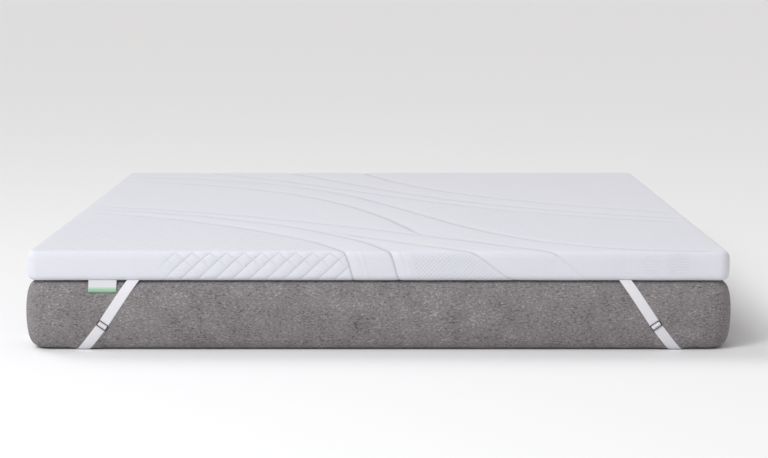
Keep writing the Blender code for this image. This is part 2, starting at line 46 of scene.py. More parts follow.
topperLow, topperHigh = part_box("topper")
mattressHalf = np.array(mattressHigh)[:2]
topperHalf = np.array(topperHigh)[:2]
print("frame:", len(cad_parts), "nodes")


# small helpers

def smoothStep(value, start, end):
    share = np.clip((value - start) / (end - start), 0.0, 1.0)
    return share * share * (3.0 - 2.0 * share)


def softNoise(points, wavelength, seed, waves=14):
    # a sum of random waves about 1 high, which changes over the given length
    draw = np.random.default_rng(seed)
    total = np.zeros(len(points))
    for _ in range(waves):
        way = draw.normal(size=points.shape[1])
        way *= draw.uniform(0.6, 1.5) * 2 * math.pi / wavelength / np.linalg.norm(way)
        total += np.sin(points @ way + draw.uniform(0, 2 * math.pi))
    return total / math.sqrt(waves / 2)


def makePiece(name, points, faces, material, sharpAngle=50.0):
    mesh = bpy.data.meshes.new(name)
    mesh.from_pydata(points.tolist(), [], faces)
    mesh.materials.append(material)
    mesh.shade_smooth()
    mesh.set_sharp_from_angle(angle=math.radians(sharpAngle))
    piece = bpy.data.objects.new(name, mesh)
    bpy.context.scene.collection.objects.link(piece)
    return piece


def gridOf(columns, rows):
    # every pair of the two, row by row
    return np.stack(np.meshgrid(columns, rows), axis=-1).reshape(-1, 2)


def addUv(piece, name, places):
    # places has one pair for each vertex, in metres on the flat cloth
    mesh = piece.data
    corners = np.zeros(len(mesh.loops), np.int32)
    mesh.loops.foreach_get("vertex_index", corners)
    layer = mesh.uv_layers.new(name=name)
    layer.uv.foreach_set("vector", places[corners].astype(np.float32).ravel())


def addVectors(piece, name, values):
    attribute = piece.data.attributes.new(name, "FLOAT_VECTOR", "POINT")
    attribute.data.foreach_set("vector", values.astype(np.float32).ravel())


def ringFaces(ringCount, pointCount, joined=False):
    # quads between rings of points that follow each other
    faces = []
    for ring in range(ringCount if joined else ringCount - 1):
        start = ring * pointCount
        following = (ring + 1) % ringCount * pointCount
        for point in range(pointCount):
            after = (point + 1) % pointCount
            faces.append((start + point, start + after, following + after, following + point))
    return faces


def tubeFaces(ringCount, pointCount):
    # the same with both ends closed
    faces = ringFaces(ringCount, pointCount)
    faces.append(list(range(pointCount))[::-1])
    faces.append(list(range((ringCount - 1) * pointCount, ringCount * pointCount)))
    return faces


def flipped(faces):
    return [face[::-1] for face in faces]


def lengthAlong(line):
    # the distance travelled at each of a line's points
    return np.concatenate([[0], np.cumsum(np.linalg.norm(np.diff(line, axis=0), axis=1))])


def unit(rows):
    return rows / np.linalg.norm(rows, axis=1)[:, None]


def wayAlong(line, joined=False):
    # the way that a line runs at each of its points
    before = np.roll(line, 1, axis=0)
    after = np.roll(line, -1, axis=0)
    if not joined:
        before[0] = line[0]
        after[-1] = line[-1]
    return unit(after - before)


def sectionAt(section, distance):
    # outward, height and the two parts of the normal, at distances along a section
    return [np.interp(distance, section[:, 0], section[:, column]) for column in range(1, 5)]


# shader maths

def operator(operation, flip=False):
    return lambda self, *others: self.math(operation, *others, flip=flip)


class Wire:
    # a socket: an expression on wires adds its Math nodes

    def __init__(self, tree, socket):
        self.tree = tree
        self.socket = socket

    def node(self, kind, settings=None, sockets=None, output=0):
        return addNode(self.tree, kind, settings, sockets, output)

    def math(self, operation, *others, flip=False):
        values = [self, *others]
        if flip:
            values.reverse()
        return self.node("ShaderNodeMath", {"operation": operation}, dict(enumerate(values)))

    __add__ = operator("ADD")
    __radd__ = operator("ADD", flip=True)
    __sub__ = operator("SUBTRACT")
    __rsub__ = operator("SUBTRACT", flip=True)
    __mul__ = operator("MULTIPLY")
    __rmul__ = operator("MULTIPLY", flip=True)
    __truediv__ = operator("DIVIDE")
    __abs__ = operator("ABSOLUTE")

    def __neg__(self):
        return self * -1.0

    def toNearest(self):
        # distance to the nearest whole number, 0 to 0.5
        return self.math("PINGPONG", 0.5)

    def rise(self, start, end):
        # 0 before start, 1 after end
        return self.node("ShaderNodeMapRange", {"interpolation_type": "SMOOTHSTEP"},
                         {"Value": self, "From Min": start, "From Max": end})

    def parts(self):
        return [self.node("ShaderNodeSeparateXYZ", {}, {"Vector": self}, axis) for axis in range(3)]


def addNode(tree, kind, settings=None, sockets=None, output=0):
    node = tree.nodes.new(kind)
    for name, value in (settings or {}).items():
        if name == "stops":
            fillRamp(node.color_ramp, value)
        else:
            setattr(node, name, value)
    for name, value in (sockets or {}).items():
        if isinstance(value, Wire):
            tree.links.new(value.socket, node.inputs[name])
        else:
            node.inputs[name].default_value = value
    return Wire(tree, node.outputs[output])


def fillRamp(ramp, stops):
    while len(ramp.elements) < len(stops):
        ramp.elements.new(0.5)
    for element, (position, colour) in zip(ramp.elements, stops):
        element.position = position
        element.color = (*colour, 1.0)


def mixColours(share, first, second):
    colours = [value if isinstance(value, Wire) else (*value, 1.0) for value in (first, second)]
    return share.node("ShaderNodeMix", {"data_type": "RGBA"}, {0: share, 6: colours[0], 7: colours[1]}, 2)


def noiseAt(place, scale, detail=2.0, roughness=0.5):
    return place.node("ShaderNodeTexNoise", {}, {
        "Vector": place, "Scale": scale, "Detail": detail, "Roughness": roughness})


def stretched(place, scale):
    return place.node("ShaderNodeVectorMath", {"operation": "MULTIPLY"}, {0: place, 1: scale})


def flatCloth(tree):
    # the place on the flat cloth, and its two measures in metres
    flat = addNode(tree, "ShaderNodeUVMap", {"uv_map": "flat"})
    return flat, *flat.parts()[:2]


def attributeParts(tree, name):
    return addNode(tree, "ShaderNodeAttribute", {"attribute_name": name}, output="Vector").parts()


def lineAt(wave, ramp):
    # 1 on a line at each whole number, 0 between the lines
    return 1 - wave.toNearest().rise(*ramp)


def latticeAt(u, v, width, height):
    # distance to the nearest of two sets of slanted lines, in their pitches
    rising = (u / width + v / height).toNearest()
    return rising.math("MINIMUM", (u / width - v / height).toNearest())


def startMaterial(name, **finish):
    material = bpy.data.materials.new(name)
    material.use_nodes = True
    tree = material.node_tree
    shader = tree.nodes["Principled BSDF"]
    for socket, value in finish.items():
        shader.inputs[socket.replace("_", " ")].default_value = value
    return material, tree, shader


def connect(tree, shader, colour, roughness, height):
    # height is in metres over the surface
    tree.links.new(colour.socket, shader.inputs["Base Color"])
    tree.links.new(roughness.socket, shader.inputs["Roughness"])
    bump = addNode(tree, "ShaderNodeBump", {}, {"Height": height, "Strength": 1.0, "Distance": 1.0})
    tree.links.new(bump.socket, shader.inputs["Normal"])


# the topper's quilted cover

topper = {
    "crown": 0.005,
    "cornerRadius": 0.032,      # in plan
    "edgeAcross": 0.018,        # rounding of the upper edge
    "edgeFall": 0.021,
    "edgePower": 2.2,
    "hemAcross": 0.020,         # rounding of the lower edge
    "hemRise": 0.026,
    "hemPower": 2.9,
    "creaseDepth": 0.0044,
    "creaseReach": 0.008,       # the crease is a third as deep this far off its line
    "frontRamp": (0.004, 0.030),    # past the flat top's edge, where frontShares come in
    "leftRamp": (0.70, 0.90),   # left of the middle
    "leftFade": 0.55,           # share of a crease's depth that is gone at the left side
    "rimRamp": 0.060,           # up to a long side's edge,
    "rimFade": 0.75,            # where this share is gone
    "pillowShare": 0.3,         # of the depth that spreads into the padding beside it
    "pillowReach": 0.032,
    "runOut": 0.150,            # of a crease that ends on the flat top
    "endSpread": 0.040,         # how much farther off it counts at its end,
    "pastSpread": 2.0,          # and for each further runOut past it
    "seamFade": 0.4,            # share of the relief that is left at the bottom
    "seamPlace": 0.0105,        # of the bottom seam, up from the lowest edge
    "seamBead": 0.0009,         # the cloth swells below the seam
    "beadPlace": 0.0034,        # below the seam
    "beadWidth": 0.0014,
    "seamGroove": 0.0010,
    "grooveWidth": 0.0012,
    "unevenness": 0.0003,
    "unevenLength": 0.24,
}

# Where the sewn sweeps run on the cover before it is pulled over the edges:
# start, two points that pull the sweep into its bend, end.
sweeps = (
    ((-1.06, -0.170), (-0.66, -0.195), (-0.092, -0.830), (-0.066, -1.110)),
    ((-1.06, -0.075), (-0.60, -0.155), (-0.042, -0.610), (0.060, -1.110)),
    ((-1.06, 0.000), (-0.50, -0.100), (0.15, -0.740), (0.600, -1.110)),
    ((-0.14, -0.640), (-0.02, -0.775), (0.18, -0.960), (0.395, -1.110)),
    ((-1.06, 0.720), (-0.28, 0.610), (-0.01, -0.120), (0.125, -0.720)),
    ((-1.06, 0.860), (0.32, 0.780), (-0.08, -1.085), (0.960, -0.985)),
    ((-0.80, 1.110), (0.00, 0.520), (0.06, -0.200), (1.060, -0.445)),
    ((-0.42, 1.110), (0.02, 0.440), (0.20, -0.110), (1.060, -0.360)),
    ((-0.10, 1.110), (0.10, 0.410), (0.34, 0.080), (1.060, -0.250)),
)

# what is left of each sweep's depth down the front
frontShares = (0.75, 0.75, 0.20, 0.50, 0.7, 0.6, 0.6, 0.6, 0.6)

# the attributes that hold the distances to the sweeps, three in each
sweepNames = ("sweepsA", "sweepsB", "sweepsC")

diamonds = {
    "width": 0.047,
    "height": 0.044,
    "depth": 0.0023,
    "start": -0.600,            # x of the first
    "drop": 0.011,              # from the edge of the flat top
    "rows": 1.95,
    "fade": 0.060,              # run-out at the left
    "margin": 0.008,            # run-out at the first sweep
    "sharpness": 1.6,           # of the lines, 1 is a plain ridge
    "fallingShare": 0.85,       # the lines that fall to the right are shallower,
    "fallingEnd": 0.35,         # more so in the lower rows
    "fallingRows": (0.4, 1.1),
    "carried": 0.25,            # share of the sweeps' depth that shows among the diamonds
    "steps": 10,                # grid columns and rows for each diamond
}

flatHalf = topperHalf - topper["edgeAcross"]
flatCorner = topper["cornerRadius"] - topper["edgeAcross"]
topperHeight = topperHigh.z - topperLow.z - topper["crown"]


def quarterRound(power, steps):
    # a quarter of a rounding: one measure from 0 to 1, the other from 1 to 0
    turns = [math.radians(90 * step / steps) for step in range(steps + 1)]
    return [(math.sin(turn) ** (2 / power), max(math.cos(turn), 0) ** (2 / power)) for turn in turns]


def topperSection(steps=36):
    # distance down the side, outward from the flat top, height, and the outward normal
    edge = [(topper["edgeAcross"] * gone, topperHeight - topper["edgeFall"] * (1 - left))
            for gone, left in quarterRound(topper["edgePower"], steps)]
    edge += [(topper["edgeAcross"] - topper["hemAcross"] * (1 - left), topper["hemRise"] * (1 - gone))
             for gone, left in quarterRound(topper["hemPower"], steps)]
    edge = np.array(edge)
    along = wayAlong(edge)
    return np.column_stack([lengthAlong(edge), edge, -along[:, 1], along[:, 0]])


sideSection = topperSection()
sideLength = sideSection[-1, 0]


def edgeOfFlat(places):
    # nearest place on the flat top's edge, the way out of it, and the distance past it
    side = np.abs(places)
    turn = flatHalf - flatCorner
    beyond = side - turn
    length = np.maximum(np.linalg.norm(beyond, axis=1), 1e-9)
    inCorner = (beyond > 0).all(1)
    past = side - flatHalf
    overX = past[:, 0] > past[:, 1]
    way = np.where(overX[:, None], (1.0, 0.0), (0.0, 1.0))
    base = np.where(way > 0, flatHalf, side)
    distance = past.max(1)
    way[inCorner] = (beyond / length[:, None])[inCorner]
    base[inCorner] = (turn + way * flatCorner)[inCorner]
    distance[inCorner] = (length - flatCorner)[inCorner]
    signs = np.where(places < 0, -1.0, 1.0)
    return base * signs, way * signs, distance


def sweepLine(row, steps=60, reach=3.0):
    # points along a sweep. An end on the flat top goes on straight, and runOut grows along it
    start, firstPull, secondPull, end = np.array(row)
    t = np.linspace(0, 1, steps + 1)[:, None]
    s = 1 - t
    line = start * s ** 3 + 3 * firstPull * s * s * t + 3 * secondPull * s * t * t + end * t ** 3
    travelled = lengthAlong(line)
    runOut = np.zeros(len(line))
    onFlat = edgeOfFlat(line[[0, -1]])[2] < 0
    if onFlat[0]:
        runOut = np.maximum(runOut, 1 - travelled / topper["runOut"])
    if onFlat[1]:
        runOut = np.maximum(runOut, 1 - (travelled[-1] - travelled) / topper["runOut"])
    way = wayAlong(line)
    farOut = 1 + reach / topper["runOut"]
    if onFlat[0]:
        line = np.vstack([line[0] - way[0] * reach, line])
        runOut = np.concatenate([[farOut], runOut])
    if onFlat[1]:
        line = np.vstack([line, line[-1] + way[-1] * reach])
        runOut = np.concatenate([runOut, [farOut]])
    return line, np.maximum(runOut, 0)


def signedDistance(places, row):
    # distance to a sweep, positive on its left, and the way across it.
    # Where the sweep runs out, the distance grows, so that the crease fades.
    line, runOut = sweepLine(row)
    nearest = np.full(len(places), 1e9)
    signed = np.zeros(len(places))
    across = np.zeros((len(places), 2))
    for start, end, outStart, outEnd in zip(line, line[1:], runOut, runOut[1:]):
        run = end - start
        share = np.clip((places - start) @ run / (run @ run), 0, 1)
        apart = places - start - share[:, None] * run
        distance = np.linalg.norm(apart, axis=1)
        closer = distance < nearest
        nearest[closer] = distance[closer]
        left = np.array((-run[1], run[0])) / np.linalg.norm(run)
        out = outStart + (outEnd - outStart) * share[closer]
        side = np.where(apart[closer] @ left < 0, -1.0, 1.0)
        spread = topper["endSpread"] * out ** 2 + topper["pastSpread"] * np.maximum(out - 1, 0)
        signed[closer] = side * (distance[closer] + spread)
        across[closer] = left
    return signed, across


def diamondDepth(places, firstSweep):
    # how far the cover is drawn down between the diamonds
    down = (-flatHalf[1] - diamonds["drop"] - places[:, 1]) / diamonds["height"]
    sideways = (places[:, 0] - diamonds["start"]) / diamonds["width"]
    rising = np.abs(sideways + down - np.round(sideways + down)) / 0.5
    falling = np.abs(sideways - down - np.round(sideways - down)) / 0.5
    lower = smoothStep(down, *diamonds["fallingRows"])
    share = diamonds["fallingShare"] + (diamonds["fallingEnd"] - diamonds["fallingShare"]) * lower
    power = diamonds["sharpness"]
    drawn = np.maximum((1 - rising) ** power, share * (1 - falling) ** power)
    inRows = (down >= -1e-6) & (down <= diamonds["rows"])
    left = np.clip((places[:, 0] - diamonds["start"]) / diamonds["fade"], 0, 1)
    right = np.clip(-firstSweep / diamonds["margin"], 0, 1)
    return diamonds["depth"] * drawn * np.where(inRows, np.minimum(left, right), 0)


def sweepStrength(places):
    # what is left of each sweep's depth at each place
    onFront = smoothStep(-places[:, 1] - flatHalf[1], *topper["frontRamp"])
    atLeft = smoothStep(-places[:, 0], *topper["leftRamp"]) * (1 - onFront)
    atRim = smoothStep(np.abs(places[:, 0]), flatHalf[0] - topper["rimRamp"], flatHalf[0])
    strength = 1 - onFront[:, None] * (1 - np.array(frontShares))
    return strength * ((1 - topper["leftFade"] * atLeft) * (1 - topper["rimFade"] * atRim))[:, None]


def coverRelief(places, signed):
    # how far the cover lies below its plain form, in metres
    distance = np.abs(signed)
    sharp = np.exp(-distance / topper["creaseReach"])
    pillow = np.exp(-distance / topper["pillowReach"])
    share = topper["pillowShare"]
    drawn = (sharp * (1 - share) + pillow * share) * sweepStrength(places)
    sunk = topper["creaseDepth"] * drawn.max(1)
    return np.maximum(sunk, diamondDepth(places, signed[:, 0]) + diamonds["carried"] * sunk)


def liftCover(places, sunk):
    # places of the unfolded cover to their places on the topper
    base, way, distance = edgeOfFlat(places)
    fromMiddle = np.clip(1 - (places / flatHalf) ** 2, 0, 1)
    crown = topper["crown"] * np.sqrt(fromMiddle.prod(1))
    onTop = np.column_stack([places, topperLow.z + topperHeight + crown - sunk])
    past = np.clip(distance, 0, sideLength)
    outward, height, normalOut, normalUp = sectionAt(sideSection, past)
    atSeam = past > sideLength - 1e-5
    height[atSeam] = 0
    normalOut[atSeam] = 1
    normalUp[atSeam] = 0
    fade = 1 - (1 - topper["seamFade"]) * (past / sideLength) ** 4
    aboveSeam = sideLength - past - topper["seamPlace"]
    bead = np.exp(-((aboveSeam + topper["beadPlace"]) / topper["beadWidth"]) ** 2)
    groove = np.exp(-(aboveSeam / topper["grooveWidth"]) ** 2)
    proud = topper["seamBead"] * bead - topper["seamGroove"] * groove - sunk * fade
    plan = base + way * (outward + proud * normalOut)[:, None]
    onSide = np.column_stack([plan, topperLow.z + height + proud * normalUp])
    return np.where((distance <= 0)[:, None], onTop, onSide)


def gridLine(*stretches):
    # places along one axis, from stretches of start, end and spacing
    places = []
    for start, end, spacing in stretches:
        count = max(1, round((end - start) / spacing))
        places.extend(np.linspace(start, end, count, endpoint=False))
    places.append(stretches[-1][1])
    return np.array(places)


# spacing of the cover's points, and the bands in which it changes
grid = {
    "seam": 0.0017,
    "side": 0.0050,
    "edge": 0.0045,
    "footEdge": 0.0042,
    "columns": 0.0110,          # on the flat top
    "rows": 0.0098,
    "footRows": 0.0064,
    "seamBand": 0.0180,         # up from the lowest edge
    "edgeBand": (0.012, 0.038),     # in from the flat top's edge, and past it
    "footBand": 0.62,           # finer rows from here to the foot end
    "diamondColumns": (-2, 160),    # fine columns, counted from the first diamond
    "diamondRows": 15,
}


def coverGrid():
    # columns and rows, close together at the edges, the seam and the diamonds
    column = diamonds["width"] / diamonds["steps"]
    row = diamonds["height"] / diamonds["steps"]
    x, y = flatHalf
    hem = sideLength - grid["seamBand"]
    inner, outer = grid["edgeBand"]
    denseStart, denseEnd = (diamonds["start"] + count * column for count in grid["diamondColumns"])
    lastRow = diamonds["drop"] + grid["diamondRows"] * row
    columns = gridLine(
        (-x - sideLength, -x - hem, grid["seam"]), (-x - hem, -x - outer, grid["side"]),
        (-x - outer, -x + inner, grid["edge"]), (-x + inner, denseStart, grid["columns"]),
        (denseStart, denseEnd, column), (denseEnd, x - inner, grid["columns"]),
        (x - inner, x + outer, grid["edge"]), (x + outer, x + hem, grid["side"]),
        (x + hem, x + sideLength, grid["seam"]))
    rows = gridLine(
        (-y - sideLength, -y - lastRow, grid["seam"]), (-y - lastRow, -y - diamonds["drop"], row),
        (-y - diamonds["drop"], -y + inner, grid["footEdge"]),
        (-y + inner, -grid["footBand"], grid["footRows"]),
        (-grid["footBand"], y - inner, grid["rows"]), (y - inner, y + outer, grid["edge"]),
        (y + outer, y + hem, grid["side"]), (y + hem, y + sideLength, grid["seam"]))
    return columns, rows


def roundCorners(places):
    # squeezes the square corners of the grid into quarter discs
    radius = flatCorner + sideLength
    turn = flatHalf - flatCorner
    side = np.abs(places) - turn
    inCorner = (side > 0).all(1)
    a, b = np.clip(side / radius, 0, 1).T
    squeezed = radius * np.column_stack([a * np.sqrt(1 - b * b / 2), b * np.sqrt(1 - a * a / 2)])
    rounded = places.copy()
    rounded[inCorner] = (np.where(places < 0, -1, 1) * (turn + squeezed))[inCorner]
    return rounded, inCorner


def snapToSweeps(places, signed, across, cell, free):
    # grid points next to a sweep move onto it, so that the creases are clean
    reach = 0.499 * np.max(np.abs(across) * cell[:, None, :], axis=2)
    nearest = np.argmin(np.abs(signed), axis=1)
    index = np.arange(len(places))
    distance = signed[index, nearest]
    snapped = free & (np.abs(distance) < reach[index, nearest])
    moved = places.copy()
    moved[snapped] -= distance[snapped, None] * across[index, nearest][snapped]
    return moved


def allDistances(places):
    found = [signedDistance(places, row) for row in sweeps]
    return np.column_stack([row[0] for row in found]), np.stack([row[1] for row in found], axis=1)


def gridFaces(columnCount, rowCount, depth):
    # two triangles for each cell, split so that the creases stay whole
    corner = np.arange(columnCount * rowCount).reshape(rowCount, columnCount)
    a, b = corner[:-1, :-1].ravel(), corner[:-1, 1:].ravel()
    c, d = corner[1:, 1:].ravel(), corner[1:, :-1].ravel()
    straight = depth[a] + depth[c] >= depth[b] + depth[d]
    first = np.where(straight[:, None], np.column_stack([a, b, c]), np.column_stack([a, b, d]))
    second = np.where(straight[:, None], np.column_stack([a, c, d]), np.column_stack([b, c, d]))
    return np.vstack([first, second]).tolist()


def gridRim(columnCount, rowCount):
    # the outermost points, in order round the grid
    corner = np.arange(columnCount * rowCount).reshape(rowCount, columnCount)
    return [*corner[0, :-1], *corner[:-1, -1], *corner[-1, :0:-1], *corner[:0:-1, 0]]


def between(value, start, end, run):
    # 1 from start to end, with a soft run at each side
    return smoothStep(value, start - run, start) * (1 - smoothStep(value, end, end + run))


# where the zigzag stands on the front: from, to and how strong
weaveColumns = (
    (0.459, 0.469, 0.7), (0.478, 0.488, 0.8), (0.497, 0.505, 0.6),
    (0.640, 0.652, 0.6), (0.664, 0.676, 0.6), (0.688, 0.699, 0.6),
    (0.716, 0.778, 0.8), (0.790, 0.846, 1.0),
)

# from where to where each pattern comes in
weave = {
    "front": (0.004, 0.012),    # past the flat top's edge
    "top": (0.004, 0.020),      # in from it
    "lattice": (0.010, 0.030),  # right of the first sweep
    "latticeRows": (0.20, 0.40),    # towards the foot end
    "rightColumns": (0.10, 0.30),   # right of the middle
    "rightBand": (0.015, 0.040),    # from the two sweeps beside it
    "rightShare": 0.7,
    "hatching": (0.044, 0.052),     # left of the second sweep
    "hatchingEnd": (0.005, 0.009),  # right of the fourth
    "zigzagEnd": (0.070, 0.078),    # past the flat top's edge
    "zigzagRun": 0.003,
    "quilt": (0.001, 0.005),    # right of the first sweep
    "quiltLead": 0.020,         # left of the first diamond
    "quiltEnd": 0.088,          # past the flat top's edge
    "quiltRun": 0.002,
    "ribs": (-0.030, 0.012),    # past the flat top's edge
}


def weaveAreas(places, signed):
    # where the knit shows its wide lattice, its hatching and its zigzags
    x, y = places.T
    past = -y - flatHalf[1]
    front = smoothStep(past, *weave["front"])
    onTop = smoothStep(flatHalf[1] - np.abs(y), *weave["top"])
    belowFirst = smoothStep(-signed[:, 0], *weave["lattice"]) * smoothStep(-y, *weave["latticeRows"])
    right = smoothStep(x, *weave["rightColumns"])
    right *= smoothStep(-signed[:, 6], *weave["rightBand"]) * smoothStep(signed[:, 5], *weave["rightBand"])
    lattice = onTop * np.maximum(belowFirst, weave["rightShare"] * right)
    hatching = smoothStep(signed[:, 1], *weave["hatching"])
    hatching *= smoothStep(-signed[:, 3], *weave["hatchingEnd"])
    zigzag = np.zeros(len(x))
    for start, end, share in weaveColumns:
        zigzag = np.maximum(zigzag, share * between(x, start, end, weave["zigzagRun"]))
    zigzag *= 1 - smoothStep(past, *weave["zigzagEnd"])
    return np.column_stack([lattice, hatching * front, zigzag * front])


def quiltAreas(places, signed):
    # how strong the diamonds and the nearest crease are, and where the front's ribs are
    past = -places[:, 1] - flatHalf[1]
    nearest = np.argmin(np.abs(signed), axis=1)
    crease = sweepStrength(places)[np.arange(len(places)), nearest]
    left = np.clip((places[:, 0] - diamonds["start"] + weave["quiltLead"]) / diamonds["fade"], 0, 1)
    quilt = left * smoothStep(-signed[:, 0], *weave["quilt"])
    quilt *= between(past, diamonds["drop"], weave["quiltEnd"], weave["quiltRun"])
    return np.column_stack([quilt, crease, smoothStep(past, *weave["ribs"])])


def buildCover(material):
    columns, rows = coverGrid()
    places = gridOf(columns, rows)
    cell = gridOf(np.gradient(columns), np.gradient(rows))
    places, inCorner = roundCorners(places)
    signed, across = allDistances(places)
    free = ~inCorner & (edgeOfFlat(places)[2] < sideLength - grid["seamBand"] - 0.0005)
    places = snapToSweeps(places, signed, across, cell, free)
    signed, across = allDistances(places)
    sunk = coverRelief(places, signed)
    depth = sunk - topper["unevenness"] * softNoise(places, topper["unevenLength"], 3)
    points = liftCover(places, depth)
    points[:, 2] = np.maximum(points[:, 2], topperLow.z)
    faces = gridFaces(len(columns), len(rows), sunk)
    faces.append([int(corner) for corner in gridRim(len(columns), len(rows))[::-1]])
    cover = makePiece("quilted_cover", points, faces, material)
    addUv(cover, "flat", places)
    for index, name in enumerate(sweepNames):
        addVectors(cover, name, signed[:, 3 * index:3 * index + 3])
    addVectors(cover, "weave", weaveAreas(places, signed))
    addVectors(cover, "quilt", quiltAreas(places, signed))
    print("cover:", len(points), "points,", len(faces), "faces")
    return cover


knit = {
    "white": (0.745, 0.750, 0.805),
    "shade": (0.44, 0.445, 0.485),       # painted shade in and beside the creases, along the diamonds' lines and at the rib edges; also the pattern's darker lines
    "creaseWidth": 0.0040,
    "creaseDepth": 0.0010,
    "besideTop": 0.020,                  # how far the painted shade spreads beside a crease, on top
    "besideFront": 0.006,
    "quiltLine": (0.0, 0.095),           # a line fades between these shares of its pitch
    "quiltDepth": 0.0009,
    "fallingShare": 0.9,                 # of the diamonds' lines that fall to the right
    "fallingFade": 0.7,
    "fallingRows": (0.5, 1.2),
    "latticeWidth": 0.0470,
    "latticeHeight": 0.0440,
    "latticeLine": (0.02, 0.13),
    "latticeDepth": 0.00075,
    "hatchPitch": 0.0117,
    "hatchLine": (0.06, 0.30),
    "hatchCross": 0.45,                  # share of the lines that cross the hatching
    "hatchBase": 0.2,                    # the cloth between the lines stands out by this share
    "hatchDepth": 0.00060,
    "zigzagRow": 0.0076,
    "zigzagWave": 0.0235,
    "zigzagHeight": 1.5,                 # a zigzag climbs half this many rows
    "zigzagLine": (0.06, 0.32),
    "zigzagBase": 0.4,                   # as hatchBase
    "dotWidth": 0.0095,
    "dotHeight": 0.0080,
    "dotLine": (0.04, 0.24),
    "dotStart": (0.052, 0.060),          # left of the first sweep
    "dotEnd": (-0.022, -0.014),          # right of the second
    "streakPitch": 0.050,
    "streakLine": (0.05, 0.35),
    "streakStart": (0.02, 0.06),         # left of the fifth sweep
    "streakEnd": (-0.06, -0.02),         # right of the sixth
    "ribHeight": 0.0006,
    "loop": 0.0016,                      # size of the knit's loops
    "loopDepth": 0.00010,
    "fuzzHeight": 0.00012,
    "tones": (1.6, 2.3, 1.9, 0.4, 0.5),  # of lattice, hatching, zigzags, dots and streaks
    "shades": (0.45, 0.33, 0.18, 0.12, 0.06),    # of creases, beside them, diamonds, pattern, rib edges: painted shade, save the pattern, which is the knit's own
    "grain": 0.08,
}

# soft ribs beside the first two sweeps, and their edges, which get painted shade: sweep, distance, half
# width, strength
ribs = ((0, 0.024, 0.008, 1), (0, 0.041, 0.006, 1), (1, 0.022, 0.007, 1), (1, 0.036, 0.006, 1))
ribEdges = ((0, 0.049, 0.003, 1), (0, 0.033, 0.003, 0.6), (1, 0.043, 0.003, 1), (1, 0.029, 0.003, 0.6))


def weighted(values, weights):
    return sum(value * weight for value, weight in zip(values, weights))


def coverMaterial():
    material, tree, shader = startMaterial("white quilted knit", Sheen_Weight=0.25, Sheen_Roughness=0.5,
                                           Specular_IOR_Level=0.3)
    flat, u, v = flatCloth(tree)
    distances = [part for name in sweepNames for part in attributeParts(tree, name)]
    lattice, hatching, zigzag = attributeParts(tree, "weave")
    quilted, strength, front = attributeParts(tree, "quilt")

    # the creases, with painted shade in them and a soft painted shade beside them
    nearest = abs(distances[0])
    for distance in distances[1:]:
        nearest = nearest.math("MINIMUM", abs(distance))
    spread = knit["besideTop"] + (knit["besideFront"] - knit["besideTop"]) * front
    crease = (1 - nearest.rise(0.0, knit["creaseWidth"])) * strength
    beside = (1 - (nearest / spread).rise(0.0, 1.0)) * strength

    # the diamonds of the front, with painted shade along their lines
    across = (u - diamonds["start"]) / diamonds["width"]
    down = (-flatHalf[1] - diamonds["drop"] - v) / diamonds["height"]
    falling = lineAt(across - down, knit["quiltLine"])
    falling = falling * (1 - down.rise(*knit["fallingRows"]) * knit["fallingFade"])
    rising = lineAt(across + down, knit["quiltLine"])
    quiltLine = rising.math("MAXIMUM", falling * knit["fallingShare"]) * quilted

    # the wide lattice of the flat top, hatching, zigzags, dots and streaks
    wide = latticeAt(u, v, knit["latticeWidth"], knit["latticeHeight"])
    latticeLine = (1 - wide.rise(*knit["latticeLine"])) * lattice
    hatchLine = lineAt((u - v) / knit["hatchPitch"], knit["hatchLine"])
    crossLine = lineAt((u + v) / knit["hatchPitch"], knit["hatchLine"])
    hatchLine = hatchLine.math("MAXIMUM", crossLine * knit["hatchCross"]) - knit["hatchBase"]
    hatchLine = hatchLine * hatching
    wave = (u / knit["zigzagWave"]).toNearest() * knit["zigzagHeight"]
    zigzagLine = (lineAt(v / knit["zigzagRow"] + wave, knit["zigzagLine"]) - knit["zigzagBase"]) * zigzag
    dots = 1 - latticeAt(u, v, knit["dotWidth"], knit["dotHeight"]).rise(*knit["dotLine"])
    dots = dots * distances[0].rise(*knit["dotStart"]) * (1 - distances[1].rise(*knit["dotEnd"])) * front
    streaks = lineAt(distances[5] / knit["streakPitch"], knit["streakLine"]) * (1 - front)
    streaks = streaks * distances[4].rise(*knit["streakStart"])
    streaks = streaks * (1 - distances[5].rise(*knit["streakEnd"]))
    pattern = weighted((latticeLine, hatchLine, zigzagLine, dots, streaks), knit["tones"])

    # at ribs this raises the cloth; at ribEdges the same sum gives painted shade
    def ribsAt(rows):
        return sum((1 - abs(distances[sweep] - place).rise(0.0, half)) * share
                   for sweep, place, half, share in rows) * front

    loops = (u / knit["loop"]).toNearest() * (v / (knit["loop"] * 0.8)).toNearest() * 4
    fuzz = noiseAt(flat, 700.0, 3.0, 0.6)
    cloud = noiseAt(flat, 2.2, 2.0)
    height = (knit["ribHeight"] * ribsAt(ribs) + knit["loopDepth"] * loops + knit["fuzzHeight"] * fuzz
              - knit["creaseDepth"] * crease - knit["quiltDepth"] * quiltLine
              - knit["latticeDepth"] * latticeLine - knit["hatchDepth"] * (hatchLine + zigzagLine))
    # painted shade in and beside the creases, along the diamonds' lines and at the rib edges, with the
    # knit's own pattern and random tone
    shade = weighted((crease, beside, quiltLine, pattern, ribsAt(ribEdges)), knit["shades"])
    shade = shade + (0.5 - cloud) * knit["grain"] + (0.5 - fuzz) * knit["grain"]
    colour = mixColours(shade.rise(-0.15, 1.0), knit["white"], knit["shade"])
    connect(tree, shader, colour, 0.82 + 0.10 * fuzz, height)
    return material


# the mattress

